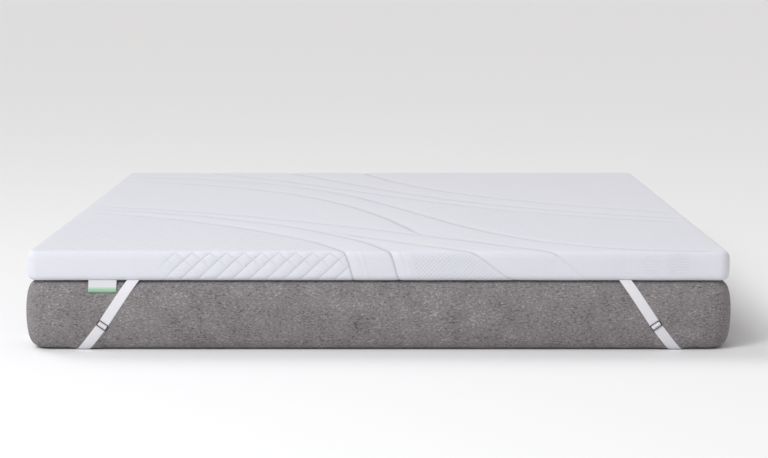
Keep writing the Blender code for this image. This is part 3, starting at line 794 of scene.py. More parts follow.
mattress = {
    "drawIn": 0.028,            # from the widest part in to the flat top and bottom
    "upperPower": 2.2,          # of the side's rounding, 2 is an ellipse
    "lowerPower": 2.4,
    "tuckDepth": 0.018,         # the cloth is tucked in where the topper presses on it
    "tuckReach": 0.0065,
    "footTuck": 0.014,          # and drawn in where it meets the surface below
    "footReach": 0.0075,
    "cornerRadius": 0.065,
    "ringStep": 0.0125,
    "sideSteps": 40,
    "strapRelief": 0.0020,      # the straps press the bottom corners up
    "reliefReach": 0.210,
    "reliefRamp": 0.050,
    "reliefHeight": 0.050,
    "fullness": 0.0013,         # how far the cloth stands out between the straps
    "fullPower": 0.6,
    "unevenness": 0.0006,
    "unevenLength": 0.20,
    "fullRamp": (0.004, 0.040),     # off a strap or the label, where the fullness comes in,
    "unevenRamp": (0.010, 0.060),   # the unevenness,
    "footRamp": (0.002, 0.030),     # and the tuck at the foot
}
mattressHeight = mattressHigh.z


def mattressSection(steps):
    # inset from the widest part and height, from the top down
    angle = np.radians(np.linspace(90, -90, steps + 1))
    power = 2 / np.where(angle > 0, mattress["upperPower"], mattress["lowerPower"])
    inset = mattress["drawIn"] * (1 - np.abs(np.cos(angle)) ** power)
    height = mattressHeight / 2 * (1 + np.sign(np.sin(angle)) * np.abs(np.sin(angle)) ** power)
    inset[[0, -1]] = mattress["drawIn"]
    height[[0, -1]] = mattressHeight, 0
    return np.column_stack([inset, height])


def cornerPress(points):
    # how far a strap presses the underside up near a corner
    fromCorner = mattressHalf - np.abs(points[:, :2])
    inside = mattress["reliefReach"] - fromCorner.sum(-1)
    return mattress["strapRelief"] * np.clip(1 + inside / mattress["reliefRamp"], 0, 1)


def raised(height, amount):
    return height + amount * np.maximum(0, 1 - height / mattress["reliefHeight"])


def roundedLoop(half, radius, inset, spacing, cornerSteps=14):
    # evenly spaced points round a rounded rectangle, the same number for any inset
    straight = half - radius
    quarter = np.radians(np.linspace(0, 90, cornerSteps, endpoint=False))
    arc = (radius - inset) * np.column_stack([np.cos(quarter), np.sin(quarter)])
    loop = []
    for turn, signs in enumerate(((1, 1), (-1, 1), (-1, -1), (1, -1))):
        centre = straight * signs
        angle = math.radians(90 * turn)
        spin = np.array(((math.cos(angle), math.sin(angle)), (-math.sin(angle), math.cos(angle))))
        loop.extend(centre + arc @ spin)
        length = 2 * straight[turn % 2]
        count = round(length / spacing)
        outward = np.array((math.cos(angle + math.pi / 2), math.sin(angle + math.pi / 2)))
        ahead = np.array((math.cos(angle + math.pi), math.sin(angle + math.pi)))
        start = centre + (radius - inset) * outward
        loop.extend(start + ahead * length * step / count for step in range(count))
    return np.array(loop)


def buildMattress(material):
    section = mattressSection(mattress["sideSteps"])
    rings = []
    for inset, height in section:
        inset += mattress["tuckDepth"] * math.exp((height - mattressHeight) / mattress["tuckReach"])
        loop = roundedLoop(mattressHalf, mattress["cornerRadius"], inset, mattress["ringStep"])
        rings.append(np.column_stack([loop, np.full(len(loop), height)]))
    rings = np.array(rings)
    count = rings.shape[1]
    points = rings.reshape(-1, 3)
    points[:, 2] = raised(points[:, 2], cornerPress(points))

    # the cloth stands out between the straps, and is uneven
    onSide = np.sin(math.pi * np.clip(points[:, 2] / mattressHeight, 0, 1)) ** mattress["fullPower"]
    apart = np.minimum(strapDistance(points), labelDistance(points))
    uneven = 1 + softNoise(points, mattress["unevenLength"], 11)
    fullness = mattress["fullness"] * smoothStep(apart, *mattress["fullRamp"])
    fullness += mattress["unevenness"] * uneven * smoothStep(apart, *mattress["unevenRamp"])
    along = (np.roll(rings, -1, axis=1) - np.roll(rings, 1, axis=1)).reshape(-1, 3)
    outward = unit(np.column_stack([along[:, 1], -along[:, 0]]))
    foot = mattress["footTuck"] * np.exp(-points[:, 2] / mattress["footReach"])
    foot *= smoothStep(apart, *mattress["footRamp"])
    points[:, :2] += outward * (fullness * onSide - foot)[:, None]
    points[-count:, 2] = cornerPress(points[-count:])

    faces = ringFaces(len(section), count)
    faces.append(list(range(count)))
    faces += undersideFaces(len(points) - count, points[-count:])
    piece = makePiece("grey_mattress", points, flipped(faces), material, 60)
    print("mattress:", len(points), "points")
    return piece


def undersideFaces(start, ring):
    # the flat middle, and at each corner a ramp and a raised flat
    count = len(ring)
    press = cornerPress(ring)
    state = np.where(press >= mattress["strapRelief"] - 1e-7, 2, np.where(press > 1e-7, 1, 0))
    quarter = np.sign(ring[:, 0]) + 3 * np.sign(ring[:, 1])
    faces = []
    middle = []
    used = set()
    for index in range(count):
        if state[index] == 0:
            middle.append(start + index)
            continue
        if quarter[index] in used:
            continue
        used.add(quarter[index])
        inside = [i for i in range(count) if quarter[i] == quarter[index] and state[i] > 0]
        gap = next(i for i in range(len(inside)) if (inside[i] - 1) % count not in inside)
        inside = inside[gap:] + inside[:gap]
        flat = [i for i in inside if state[i] == 2]
        before = inside[:inside.index(flat[0])]
        past = inside[inside.index(flat[-1]) + 1:]
        ramp = [(inside[0] - 1) % count, *before, flat[0], flat[-1], *past, (inside[-1] + 1) % count]
        faces += [[start + i for i in ramp[::-1]], [start + i for i in flat[::-1]]]
    faces.append(middle[::-1])
    return faces


heather = {
    "dark": (0.070, 0.066, 0.067),
    "mid": (0.226, 0.208, 0.211),
    "light": (0.44, 0.425, 0.42),
    "stops": (0.33, 0.47, 0.54, 0.70),      # dark, mid, mid, light
    "fleck": 125.0,             # for each metre along the side
    "fleckUp": 300.0,           # and up it
    "speck": 260.0,
    "swirl": 22.0,
    "cloud": 11.0,
    "bend": 0.005,              # of the flecks' rows, in metres
    "knitRow": 0.0024,
    "knitWale": 0.00312,
    "knitDepth": 0.00016,
    "fleckDepth": 0.0006,
    "speckDepth": 0.0003,
}


def mattressMaterial():
    material, tree, shader = startMaterial("grey heather knit", Sheen_Weight=0.10, Sheen_Roughness=0.6,
                                           Specular_IOR_Level=0.2)
    place = addNode(tree, "ShaderNodeTexCoord", output="Object")
    x, y, z = place.parts()
    # the flecks lie along the cloth's rows, bent a little by the knit
    swirl = noiseAt(place, heather["swirl"], 2.0)
    bent = addNode(tree, "ShaderNodeCombineXYZ", {}, {
        "X": x, "Y": y, "Z": z + (swirl - 0.5) * heather["bend"]})
    stretch = (heather["fleck"], heather["fleck"], heather["fleckUp"])
    flecks = noiseAt(stretched(bent, stretch), 1.0, 2.0, 0.6)
    specks = noiseAt(place, heather["speck"], 2.0, 0.7)
    cloud = noiseAt(place, heather["cloud"], 2.0)
    tone = flecks * 0.60 + specks * 0.40 + (swirl - 0.5) * 0.12 + (cloud - 0.5) * 0.10
    colours = (heather["dark"], heather["mid"], heather["mid"], heather["light"])
    stops = tuple(zip(heather["stops"], colours))
    colour = tone.node("ShaderNodeValToRGB", {"stops": stops}, {"Fac": tone})
    rows = (z / heather["knitRow"]).toNearest()
    wales = ((x + y) / heather["knitWale"]).toNearest()
    height = heather["knitDepth"] * rows + heather["knitDepth"] * wales
    height = height + heather["fleckDepth"] * flecks + heather["speckDepth"] * specks
    connect(tree, shader, colour, 0.86 + 0.1 * specks, height)
    return material


# the elastic straps

strap = {
    "width": 0.028,
    "thickness": 0.0012,
    "gap": 0.0005,              # to the mattress
    "seam": 0.0100,             # the strap leaves the topper this far in from its widest part
    "seamRise": 0.0015,         # and this far over the mattress's top
    "topFromCorner": {-1: 0.302, 1: 0.297},     # by side of X
    "adjusterDrop": 0.1265,
    "waist": 0.0256,            # width inside the adjuster
    "waistEnd": 0.0095,         # from its middle bar
    "waistRun": 0.003,
    "squareReach": (0.0110, 0.017, 0.022, 0.030),   # from the middle bar,
    "squareShare": (1.0, 0.7, 0.35, 0.0),           # how far it is turned square to the adjuster there
    "step": 0.0028,             # between sections
    "fineReach": 0.0125,        # which are closer up to here from the middle bar
    "cord": 0.0020,             # pitch of the ribs along it
    "pick": 0.0012,             # and of the threads across
    "cordDepth": 0.00022,
    "pickDepth": 0.00010,
    "selvedge": (0.44, 0.5),    # where it falls away and gets painted shade, in shares of the width from the middle
    "white": (0.80, 0.795, 0.825),
    "shade": (0.60, 0.595, 0.62),
}

# distance down from the seam, outward run for each unit of drop
strapCourse = np.array((
    (0.0, 0.667), (0.119, 0.667), (0.134, 0.775), (0.200, 0.775), (0.240, 1.0), (1.0, 1.0)))

slide = {
    "wireRadius": 0.0011,
    "wireGap": 0.0003,
    "width": 0.0308,
    "pitch": 0.008,             # from the middle bar to an end bar
    "corner": 0.003,
    "barReach": 0.2,            # of the middle bar into the ring, in wire radii
    "barRadius": 0.85,
    "dark": (0.045, 0.045, 0.050),
    "worn": (0.20, 0.20, 0.21),
}


def strapCarrier(steps=60, skipTop=0.002, underReach=0.2):
    # the line down the mattress's side that a strap follows: distance, outward, height, normal
    lowered = mattressSection(steps)
    lowered[:, 1] = raised(lowered[:, 1], mattress["strapRelief"])
    along = wayAlong(lowered)
    side = lowered + np.column_stack([along[:, 1], -along[:, 0]]) * strap["gap"]
    seam = np.array((mattressHalf[0] - topperHalf[0] + strap["seam"], mattressHeight + strap["seamRise"]))
    low = side[:, 1] < mattressHeight - skipTop
    slopes = np.where(low, (side[:, 0] - seam[0]) / np.maximum(seam[1] - side[:, 1], 1e-6), 1.0)
    points = np.vstack([seam, side[int(np.argmin(slopes)):]])
    underHeight = mattress["strapRelief"] - strap["gap"]
    points[-1, 1] = underHeight
    points = np.vstack([points, (mattress["drawIn"] + underReach, underHeight)])
    points[:, 0] *= -1
    way = wayAlong(points)
    return np.column_stack([lengthAlong(points), points, -way[:, 1], way[:, 0]])


carrier = strapCarrier()
underside = carrier[-2, 0]      # the distance at which a strap lies flat under the mattress


def strapMiddle(distance, sideX):
    # the strap's middle from the corner, and its outward run for each unit of drop
    fine = np.linspace(0, 0.5, 2001)
    slope = np.interp(fine, strapCourse[:, 0], strapCourse[:, 1])
    run = np.concatenate([[0], np.cumsum((slope[1:] + slope[:-1]) / 2 * np.diff(fine))])
    return strap["topFromCorner"][sideX] - np.interp(distance, fine, run), np.interp(distance, fine, slope)


def onCarrier(fromCorner, distance, height):
    # over the mattress's side, as distances in from the two sides of a corner, and the height
    outward, level, normalOut, normalUp = sectionAt(carrier, distance)
    inset = -outward - height * normalOut
    return np.stack(np.broadcast_arrays(fromCorner, inset, level + height * normalUp), axis=-1)


def toWorld(points, signX, signY):
    plan = (mattressHalf - points[..., :2]) * (signX, signY)
    return np.concatenate([plan, points[..., 2:]], axis=-1)


def cornerDistance(sideX):
    # how far down the strap's middle meets the corner's diagonal
    straight = strapCourse[-2, 0]
    fromCorner, _ = strapMiddle(straight, sideX)
    inset = mattress["drawIn"] + straight - underside
    return straight + (fromCorner - inset) / 2


def strapDistance(points):
    # about how far the points of the mattress's side lie from the nearest strap's edge
    fromCorner = mattressHalf - np.abs(points[:, :2])
    down = np.clip(mattressHeight - points[:, 2], 0, mattressHeight)
    left, slope = strapMiddle(down, -1)
    middle = np.where(points[:, 0] < 0, left, strapMiddle(down, 1)[0])
    lean = np.cos(np.arctan(slope))
    onFoot = np.abs(fromCorner[:, 0] - middle) * lean
    onLong = np.abs(fromCorner[:, 1] - middle) * lean
    footSide = fromCorner[:, 1] < mattress["cornerRadius"]
    longSide = fromCorner[:, 0] < mattress["cornerRadius"]
    apart = np.where(footSide, onFoot, 1.0)
    apart = np.minimum(apart, np.where(longSide, onLong, 1.0))
    return apart - strap["width"] / 2


def labelDistance(points):
    # how far the points of the mattress's side lie from the label's edge
    beside = np.abs(points[:, 0] - label["centre"]) - label["width"] / 2
    below = mattressHeight - points[:, 2] - label["drop"]
    apart = np.maximum(beside, below)
    return np.where(points[:, 1] < 0, apart, 1.0)


def strapShape(distance, sideX, hasSlide):
    # turn of the section, width and rise over the slide's middle bar
    turned = np.interp(distance, (strapCourse[-2, 0], cornerDistance(sideX)), (0.0, 1.0))
    width = np.full_like(distance, strap["width"])
    rise = np.zeros_like(distance)
    if hasSlide:
        _, slope = strapMiddle(strap["adjusterDrop"], sideX)
        away = np.abs(distance - strap["adjusterDrop"])
        along = away / math.cos(math.atan(slope))
        square = np.interp(away, strap["squareReach"], strap["squareShare"])
        turned = np.maximum(turned, square)
        waist = np.clip((strap["waistEnd"] - along) / strap["waistRun"], 0, 1)
        width += (strap["waist"] - strap["width"]) * waist
        fullRise = 2 * slide["wireRadius"] + 2 * slide["wireGap"] + strap["thickness"]
        bend = 0.5 + 0.5 * np.cos(math.pi * np.clip(along / slide["pitch"], 0, 1))
        rise = fullRise * bend
    return turned, width, rise


def strapSections(sideX, hasSlide, across):
    # across holds pairs: place over the width from -1 to 1, share of the thickness
    last = cornerDistance(sideX)
    distance = np.linspace(0, last, round(last / strap["step"]) + 1)
    if hasSlide:
        close = strap["adjusterDrop"] + np.linspace(-strap["fineReach"], strap["fineReach"], 41)
        outside = np.abs(distance - strap["adjusterDrop"]) > strap["fineReach"] + 0.001
        distance = np.concatenate([distance[outside], close])
        distance.sort()
    middle, slope = strapMiddle(distance, sideX)
    turned, width, rise = strapShape(distance, sideX, hasSlide)
    lean = np.arctan(slope)
    tilt = lean * turned
    reach = width / 2 / np.cos(lean - tilt)
    side = across[None, :, 0] * reach[:, None]
    fromCorner = middle[:, None] + side * np.cos(tilt)[:, None]
    down = distance[:, None] + side * np.sin(tilt)[:, None]
    height = rise[:, None] + across[None, :, 1] * strap["thickness"]
    along = np.concatenate([[0], np.cumsum(np.diff(distance) / np.cos((lean[1:] + lean[:-1]) / 2))])
    return onCarrier(fromCorner, np.maximum(down, 0), height), along


def bandAcross(steps=14, roundness=6):
    # a flat band's section with rounded selvedges, once round
    place = -np.cos(np.linspace(0, math.pi, steps + 1))
    bulge = 0.5 * (1 - np.abs(place) ** roundness) ** 0.5
    upper = np.column_stack([place, 0.5 + bulge])
    lower = np.column_stack([place[::-1], 0.5 - bulge[::-1]])
    return np.vstack([upper, lower[1:-1]])


def buildStrap(name, signX, signY, material):
    across = bandAcross()
    first, firstAlong = strapSections(signX, True, across)
    second, secondAlong = strapSections(signX, False, across)
    turnedOver = second[::-1][1:][..., [1, 0, 2]]
    total = firstAlong[-1] + secondAlong[-1]
    sections = toWorld(np.concatenate([first, turnedOver]), signX, signY)
    along = np.concatenate([firstAlong, total - secondAlong[::-1][1:]])
    points = sections.reshape(-1, 3)
    faces = tubeFaces(len(sections), len(across))
    piece = makePiece(name, points, flipped(faces) if signX * signY < 0 else faces, material, 60)
    addUv(piece, "flat", gridOf(across[:, 0] * strap["width"] / 2, along))
    return piece, total


def webbingMaterial():
    material, tree, shader = startMaterial("white elastic webbing", Sheen_Weight=0.2, Sheen_Roughness=0.4,
                                           Specular_IOR_Level=0.35)
    flat, u, v = flatCloth(tree)
    cords = (u / strap["cord"]).toNearest() * 2
    picks = ((v / strap["pick"]) + cords * 0.5).toNearest() * 2
    edge = abs(u).rise(*(strap["width"] * share for share in strap["selvedge"]))
    fuzz = noiseAt(flat, 900.0, 2.0)
    height = (strap["cordDepth"] * cords + strap["pickDepth"] * picks
              + 0.00008 * fuzz - 0.0002 * edge)
    # painted shade in the grooves between the cords and on the selvedges, with random tone from the fuzz
    shade = (1 - cords) * 0.22 + edge * 0.35 + (0.5 - fuzz) * 0.2
    colour = mixColours(shade.rise(0.0, 1.0), strap["white"], strap["shade"])
    connect(tree, shader, colour, 0.62 + 0.2 * fuzz, height)
    return material


# the wire slides on the straps

def wireTube(path, radius, joined, up, sides=16):
    # points and faces of a round wire along a path in one plane
    across = np.cross(wayAlong(path, joined), up)
    angle = np.linspace(0, 2 * math.pi, sides, endpoint=False)
    points = path[:, None] + radius * (np.cos(angle)[None, :, None] * across[:, None]
                                       + np.sin(angle)[None, :, None] * up)
    faces = ringFaces(len(path), sides, True) if joined else tubeFaces(len(path), sides)
    return points.reshape(-1, 3), flipped(faces)


def buildSlide(name, signX, signY, material):
    drop = strap["adjusterDrop"]
    fromCorner, slope = strapMiddle(drop, signX)
    height = strap["thickness"] + slide["wireGap"] + slide["wireRadius"]
    probe = 0.001               # a short way off, to find the cloth's slope
    centre = toWorld(onCarrier(fromCorner, drop, height), signX, signY)
    below = toWorld(onCarrier(fromCorner - probe * slope, drop + probe, height), signX, signY)
    beside = toWorld(onCarrier(fromCorner - probe, drop, height), signX, signY)
    along = (below - centre) / np.linalg.norm(below - centre)
    outward = np.cross(along, beside - centre)
    outward /= np.linalg.norm(outward)
    across = np.cross(along, outward)

    halfWidth = slide["width"] / 2 - slide["wireRadius"]
    path = []
    for turn, (sideAcross, sideAlong) in enumerate(((1, 1), (-1, 1), (-1, -1), (1, -1))):
        for step in range(9):
            angle = math.radians(90 * (turn + step / 8))
            x = (halfWidth - slide["corner"]) * sideAcross + slide["corner"] * math.cos(angle)
            y = (slide["pitch"] - slide["corner"]) * sideAlong + slide["corner"] * math.sin(angle)
            path.append(centre + across * x + along * y)
    loop = makePiece(name, *wireTube(np.array(path), slide["wireRadius"], True, outward), material)
    reach = halfWidth + slide["barReach"] * slide["wireRadius"]
    ends = np.array([centre - across * reach, centre + across * reach])
    radius = slide["wireRadius"] * slide["barRadius"]
    bar = makePiece("middle_bar", *wireTube(ends, radius, False, outward), material)
    join = loop.modifiers.new("join", "BOOLEAN")
    join.operation = "UNION"
    join.object = bar
    return plainMesh(loop, bar)


def plainMesh(piece, *helpers):
    # the evaluated piece as a plain mesh, without its modifiers
    graph = bpy.context.evaluated_depsgraph_get()
    mesh = bpy.data.meshes.new_from_object(piece.evaluated_get(graph))
    piece.modifiers.clear()
    old = piece.data
    piece.data = mesh
    mesh.name = piece.name
    if old.users == 0:
        bpy.data.meshes.remove(old)
    for helper in helpers:
        bpy.data.objects.remove(helper, do_unlink=True)
    return piece


def metalMaterial():
    material, tree, shader = startMaterial("dark coated wire", Metallic=0.9, Specular_IOR_Level=0.5)
    place = addNode(tree, "ShaderNodeTexCoord", output="Object")
    grain = noiseAt(place, 1500.0, 3.0)
    wear = noiseAt(place, 260.0, 3.0).rise(0.58, 0.72)
    colour = mixColours(wear * 0.6, slide["dark"], slide["worn"])
    connect(tree, shader, colour, 0.30 + 0.18 * grain, 0.00003 * grain)
    return material


# the label in the bottom seam

label = {
    "centre": -0.7555,
    "width": 0.077,
    "drop": 0.0350,
    "thickness": 0.001,         # of both layers
    "ply": 0.00042,
    "lift": 0.0010,             # of its free end off the mattress
    "wave": 0.0009,
    "band": (0.0215, 0.0355),   # from the seam down
    "white": (0.66, 0.67, 0.69),
    "shade": (0.58, 0.59, 0.61),
    "greens": ((0.44, 0.58, 0.47), (0.29, 0.53, 0.32), (0.22, 0.44, 0.26)),     # from the seam down; the last is the band's green painted darker, as shade towards the fold
    "edge": (0.55, 0.58, 0.58),
    "bandBlur": 0.001,          # of the band's ends
    "blur": 0.0006,             # of its two inner lines
    "thread": 0.0007,           # pitch of the threads across the label
    "pick": 0.0009,             # and down it
    "threadDepth": 0.00006,
    "selvedge": 0.0012,
}


def labelSection(steps=24, foldSteps=8):
    # outer and inner face of a ribbon folded in half: down the front, round the fold, up behind
    fold = label["thickness"] / 2
    ply = label["ply"]
    straight = label["drop"] - fold
    outer = []
    inner = []
    for step in range(steps + 1):
        distance = straight * step / steps
        outer.append((distance, label["thickness"]))
        inner.append((distance, label["thickness"] - ply))
    for step in range(1, foldSteps):
        angle = math.pi * step / foldSteps
        outer.append((straight + fold * math.sin(angle), fold * (1 + math.cos(angle))))
        inner.append((straight + (fold - ply) * math.sin(angle), fold + (fold - ply) * math.cos(angle)))
    for step in range(steps + 1):
        distance = straight * (1 - step / steps)
        outer.append((distance, 0.0))
        inner.append((distance, ply))
    return np.array(outer), np.array(inner)


def buildLabel(material, columnCount=27):
    outer, inner = labelSection()
    travelled = lengthAlong(outer)
    columns = np.linspace(0, 1, columnCount)
    left = mattressHalf[0] - abs(label["centre"]) + label["width"] / 2
    fromCorner = left - columns * label["width"]
    lift = label["lift"] + label["wave"] * np.sin(columns * math.pi * 2.3 + 0.4)

    def face(edge):
        rows = []
        for (distance, height), (down, _) in zip(edge, outer):
            offMattress = height + lift * (down / label["drop"]) ** 2
            rows.append(onCarrier(fromCorner, np.full(columnCount, distance), offMattress))
        return toWorld(np.array(rows), -1, -1)

    # each section runs along the outer face and back along the inner one
    sections = np.concatenate([face(outer), face(inner)[:, ::-1]], axis=1)
    points = sections.reshape(-1, 3)
    faces = tubeFaces(len(sections), 2 * columnCount)
    piece = makePiece("seam_label", points, flipped(faces), material, 50)
    across = np.concatenate([columns, columns[::-1]]) * label["width"]
    addUv(piece, "flat", gridOf(across, travelled))
    return piece, travelled[-1]


def labelMaterial():
    material, tree, shader = startMaterial("satin label", Sheen_Weight=0.15, Specular_IOR_Level=0.5)
    _, u, v = flatCloth(tree)
    start, end = label["band"]
    bandBlur = label["bandBlur"]
    band = v.rise(start, start + bandBlur) * (1 - v.rise(end, end + bandBlur))
    third = (end - start) / 3
    blur = label["blur"]
    bright = v.rise(start + third - blur, start + third + blur)
    # the band's lowest third: its green painted darker, as shade towards the fold
    deep = v.rise(end - third - blur, end - third + blur)
    threads = (u / label["thread"]).toNearest() * 2
    picks = (v / label["pick"]).toNearest() * 2
    edge = 1 - (u.math("MINIMUM", label["width"] - u)).rise(0.0, label["selvedge"])
    white = mixColours(threads * 0.3, label["white"], label["shade"])
    green = mixColours(bright, *label["greens"][:2])
    green = mixColours(deep, green, label["greens"][2])
    colour = mixColours(band, white, green)
    colour = mixColours(edge * 0.4, colour, label["edge"])
    height = label["threadDepth"] * threads + label["threadDepth"] * picks
    connect(tree, shader, colour, 0.38 + 0.15 * picks, height)
    return material


# stitches, by Geometry Nodes

stitches = {
    "spacing": 0.0046,
    "length": 0.0042,
    "thickness": 0.00032,
    "arch": 0.0007,
    "lean": 0.55,               # how far each stitch leans, in radians
    "jitter": 0.12,             # and by how much more or less
    "seed": 4,
    "shade": (0.78, 0.80, 0.85),
    "white": (0.86, 0.87, 0.91),
}


def stitchTree(material):
    tree = bpy.data.node_groups.new("stitches along a line", "GeometryNodeTree")
    tree.interface.new_socket("Geometry", in_out="INPUT", socket_type="NodeSocketGeometry")
    for name in ("Spacing", "Length", "Thickness", "Arch", "Lean", "Jitter"):
        tree.interface.new_socket(name, in_out="INPUT", socket_type="NodeSocketFloat")
    tree.interface.new_socket("Seed", in_out="INPUT", socket_type="NodeSocketInt")
    tree.interface.new_socket("Geometry", in_out="OUTPUT", socket_type="NodeSocketGeometry")
    start = tree.nodes.new("NodeGroupInput")

    def given(name):
        return Wire(tree, start.outputs[name])

    line = addNode(tree, "GeometryNodeMeshToCurve", {}, {"Mesh": given("Geometry")})
    evenLine = addNode(tree, "GeometryNodeResampleCurve", {"mode": "LENGTH"},
                       {"Curve": line, "Length": given("Spacing")})
    tangent = addNode(tree, "GeometryNodeInputTangent")
    half = given("Length") * 0.5
    left = addNode(tree, "ShaderNodeCombineXYZ", {}, {"X": -half})
    right = addNode(tree, "ShaderNodeCombineXYZ", {}, {"X": half})
    top = addNode(tree, "ShaderNodeCombineXYZ", {}, {"Z": given("Arch") * 2})
    arch = addNode(tree, "GeometryNodeCurveQuadraticBezier", {}, {
        "Resolution": 4, "Start": left, "Middle": top, "End": right})
    ring = addNode(tree, "GeometryNodeCurvePrimitiveCircle", {}, {
        "Resolution": 5, "Radius": given("Thickness")})
    thread = addNode(tree, "GeometryNodeCurveToMesh", {}, {
        "Curve": arch, "Profile Curve": ring, "Fill Caps": True})
    # the stitch's own X runs along the line, its Z points away from the cloth
    facing = addNode(tree, "FunctionNodeAlignRotationToVector", {"axis": "X"}, {"Vector": tangent})
    normal = addNode(tree, "GeometryNodeInputNamedAttribute", {"data_type": "FLOAT_VECTOR"},
                     {"Name": "outward"})
    upright = addNode(tree, "FunctionNodeAlignRotationToVector", {"axis": "Z", "pivot_axis": "X"},
                      {"Rotation": facing, "Vector": normal})
    jitter = addNode(tree, "FunctionNodeRandomValue", {}, {
        "Min": -given("Jitter"), "Max": given("Jitter"), "Seed": given("Seed")}, 1)
    lean = addNode(tree, "ShaderNodeCombineXYZ", {}, {"Z": given("Lean") + jitter})
    turned = addNode(tree, "FunctionNodeRotateRotation", {"rotation_space": "LOCAL"},
                     {"Rotation": upright, "Rotate By": lean})
    placed = addNode(tree, "GeometryNodeInstanceOnPoints", {}, {
        "Points": evenLine, "Instance": thread, "Rotation": turned})
    whole = addNode(tree, "GeometryNodeRealizeInstances", {}, {"Geometry": placed})
    coloured = addNode(tree, "GeometryNodeSetMaterial", {}, {"Geometry": whole, "Material": material})
    end = tree.nodes.new("NodeGroupOutput")
    tree.links.new(coloured.socket, end.inputs["Geometry"])
    return tree


def sewRound(name, points, outward, tree, material):
    # stitches round a closed line of points, each with the way out of the cloth
    count = len(points)
    edges = [(index, (index + 1) % count) for index in range(count)]
    mesh = bpy.data.meshes.new(name)
    mesh.from_pydata(points.tolist(), edges, [])
    mesh.materials.append(material)
    piece = bpy.data.objects.new(name, mesh)
    bpy.context.scene.collection.objects.link(piece)
    addVectors(piece, "outward", outward)
    modifier = piece.modifiers.new("stitches", "NODES")
    modifier.node_group = tree
    for item in tree.interface.items_tree:
        if item.in_out == "INPUT" and item.name != "Geometry":
            modifier[item.identifier] = stitches[item.name.lower()]
    return plainMesh(piece)


def threadMaterial():
    material, tree, shader = startMaterial("white thread", Sheen_Weight=0.1)
    place = addNode(tree, "ShaderNodeTexCoord", output="Object")
    twist = noiseAt(place, 2600.0, 1.0)
    colour = mixColours(twist, stitches["shade"], stitches["white"])
    connect(tree, shader, colour, 0.55 + 0.2 * twist, 0.00004 * twist)
    return material


def seamLine(proud=0.0002, spacing=0.012):
    # a line round the topper along its bottom seam, just clear of the cloth
    down = sideLength - topper["seamPlace"]
    places = roundedLoop(flatHalf + down, flatCorner + down, 0.0, spacing)
    _, way, _ = edgeOfFlat(places)
    points = liftCover(places, coverRelief(places, allDistances(places)[0]))
    points[:, :2] += way * proud
    return points, np.column_stack([way, np.zeros(len(way))])


# the pieces

cover = buildCover(coverMaterial())
greyMattress = buildMattress(mattressMaterial())
webbing = webbingMaterial()
metal = metalMaterial()
corners = (("front_left", -1, -1), ("front_right", 1, -1), ("back_left", -1, 1), ("back_right", 1, 1))
straps = {name: buildStrap("webbing_" + name, x, y, webbing) for name, x, y in corners}
slides = {name: buildSlide("slide_" + name, x, y, metal) for name, x, y in corners}
seamLabel, labelLength = buildLabel(labelMaterial())
print("straps, slides and label built; strap length", round(straps["front_left"][1], 4))

thread = threadMaterial()
stitchNodes = stitchTree(thread)
hemStitches = sewRound("hem_stitches", *seamLine(), stitchNodes, thread)
print("hem stitches:", len(hemStitches.data.polygons), "faces")


# what rides where

for piece in (cover, greyMattress, seamLabel, hemStitches):
    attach(piece, "root")
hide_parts("topper")
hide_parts("mattress")
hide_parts("label")
for name, (band, length) in straps.items():
    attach(band, "root")
    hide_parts("strap_" + name)
for name, ring in slides.items():
    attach(ring, "root")
    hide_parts("adjuster_" + name)


# floor, light and camera

studio = {
    "floorHalf": 120.0,
    "floorGap": 0.0002,         # just clear of the mattress
    "floorColour": (0.90, 0.90, 0.90),
    "skyStrength": 0.45,
    "skyColour": (1.0, 0.975, 0.965),
    "suns": {                   # where from, strength, angle in degrees, colour
        "backSun": ((-0.50, 0.45, 0.74), 0.95, 30.0, (1.0, 1.0, 1.0)),
        "frontSun": ((-0.35, -0.55, 0.76), 0.62, 40.0, (0.97, 0.98, 1.0)),
    },
    "windowPower": 204.0,       # the cooler light at the left
    "windowSize": 3.0,
    "windowPlace": (-3.8, -4.9, 4.7),
    "windowColour": (0.93, 0.96, 1.0),
    "windowTarget": (0.0, 0.0, 0.15),
}


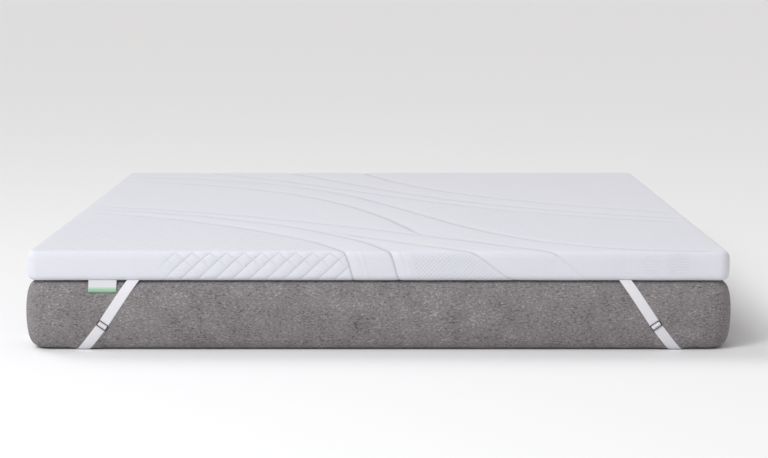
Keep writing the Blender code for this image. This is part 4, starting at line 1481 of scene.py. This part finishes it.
def buildFloor():
    half = studio["floorHalf"]
    outline = np.array([(x * half, y * half, -studio["floorGap"])
                        for x, y in ((-1, -1), (1, -1), (1, 1), (-1, 1))])
    material, _, shader = startMaterial("pale floor", Roughness=0.9, Specular_IOR_Level=0.1)
    shader.inputs["Base Color"].default_value = (*studio["floorColour"], 1.0)
    makePiece("floor", outline, [(0, 1, 2, 3)], material)


def lamp(name, kind, place, target, **settings):
    light = bpy.data.lights.new(name, kind)
    for setting, value in settings.items():
        setattr(light, setting, value)
    holder = bpy.data.objects.new(name, light)
    holder.location = place
    holder.rotation_euler = (Vector(target) - Vector(place)).to_track_quat("-Z", "Y").to_euler()
    bpy.context.scene.collection.objects.link(holder)


def buildLight():
    world = bpy.data.worlds.new("studio")
    world.use_nodes = True
    background = world.node_tree.nodes["Background"]
    background.inputs["Color"].default_value = (*studio["skyColour"], 1.0)
    background.inputs["Strength"].default_value = studio["skyStrength"]
    bpy.context.scene.world = world
    for name, (place, strength, angle, colour) in studio["suns"].items():
        lamp(name, "SUN", Vector(place) * 8, (0.0, 0.0, 0.0), energy=strength,
             angle=math.radians(angle), color=colour)
    lamp("window", "AREA", studio["windowPlace"], studio["windowTarget"], shape="DISK",
         size=studio["windowSize"], energy=studio["windowPower"], color=studio["windowColour"])
    bpy.context.scene.view_settings.view_transform = "Standard"
    bpy.context.scene.view_settings.look = "None"


view = {
    "place": (0.0222, -5.881, 1.0142),
    "pitch": 7.927,             # degrees below level
    "yaw": 0.075,
    "lens": 84.52,
    "sensor": 36.0,
    "farthest": 400.0,
}


def buildCamera():
    camera = bpy.data.cameras.new("camera")
    camera.lens = view["lens"]
    camera.sensor_width = view["sensor"]
    camera.clip_end = view["farthest"]
    holder = bpy.data.objects.new("camera", camera)
    holder.location = view["place"]
    holder.rotation_euler = Euler((math.radians(90 - view["pitch"]), 0.0, math.radians(view["yaw"])))
    bpy.context.scene.collection.objects.link(holder)
    bpy.context.scene.camera = holder


buildFloor()
buildLight()
buildCamera()
print("floor, light and camera set")
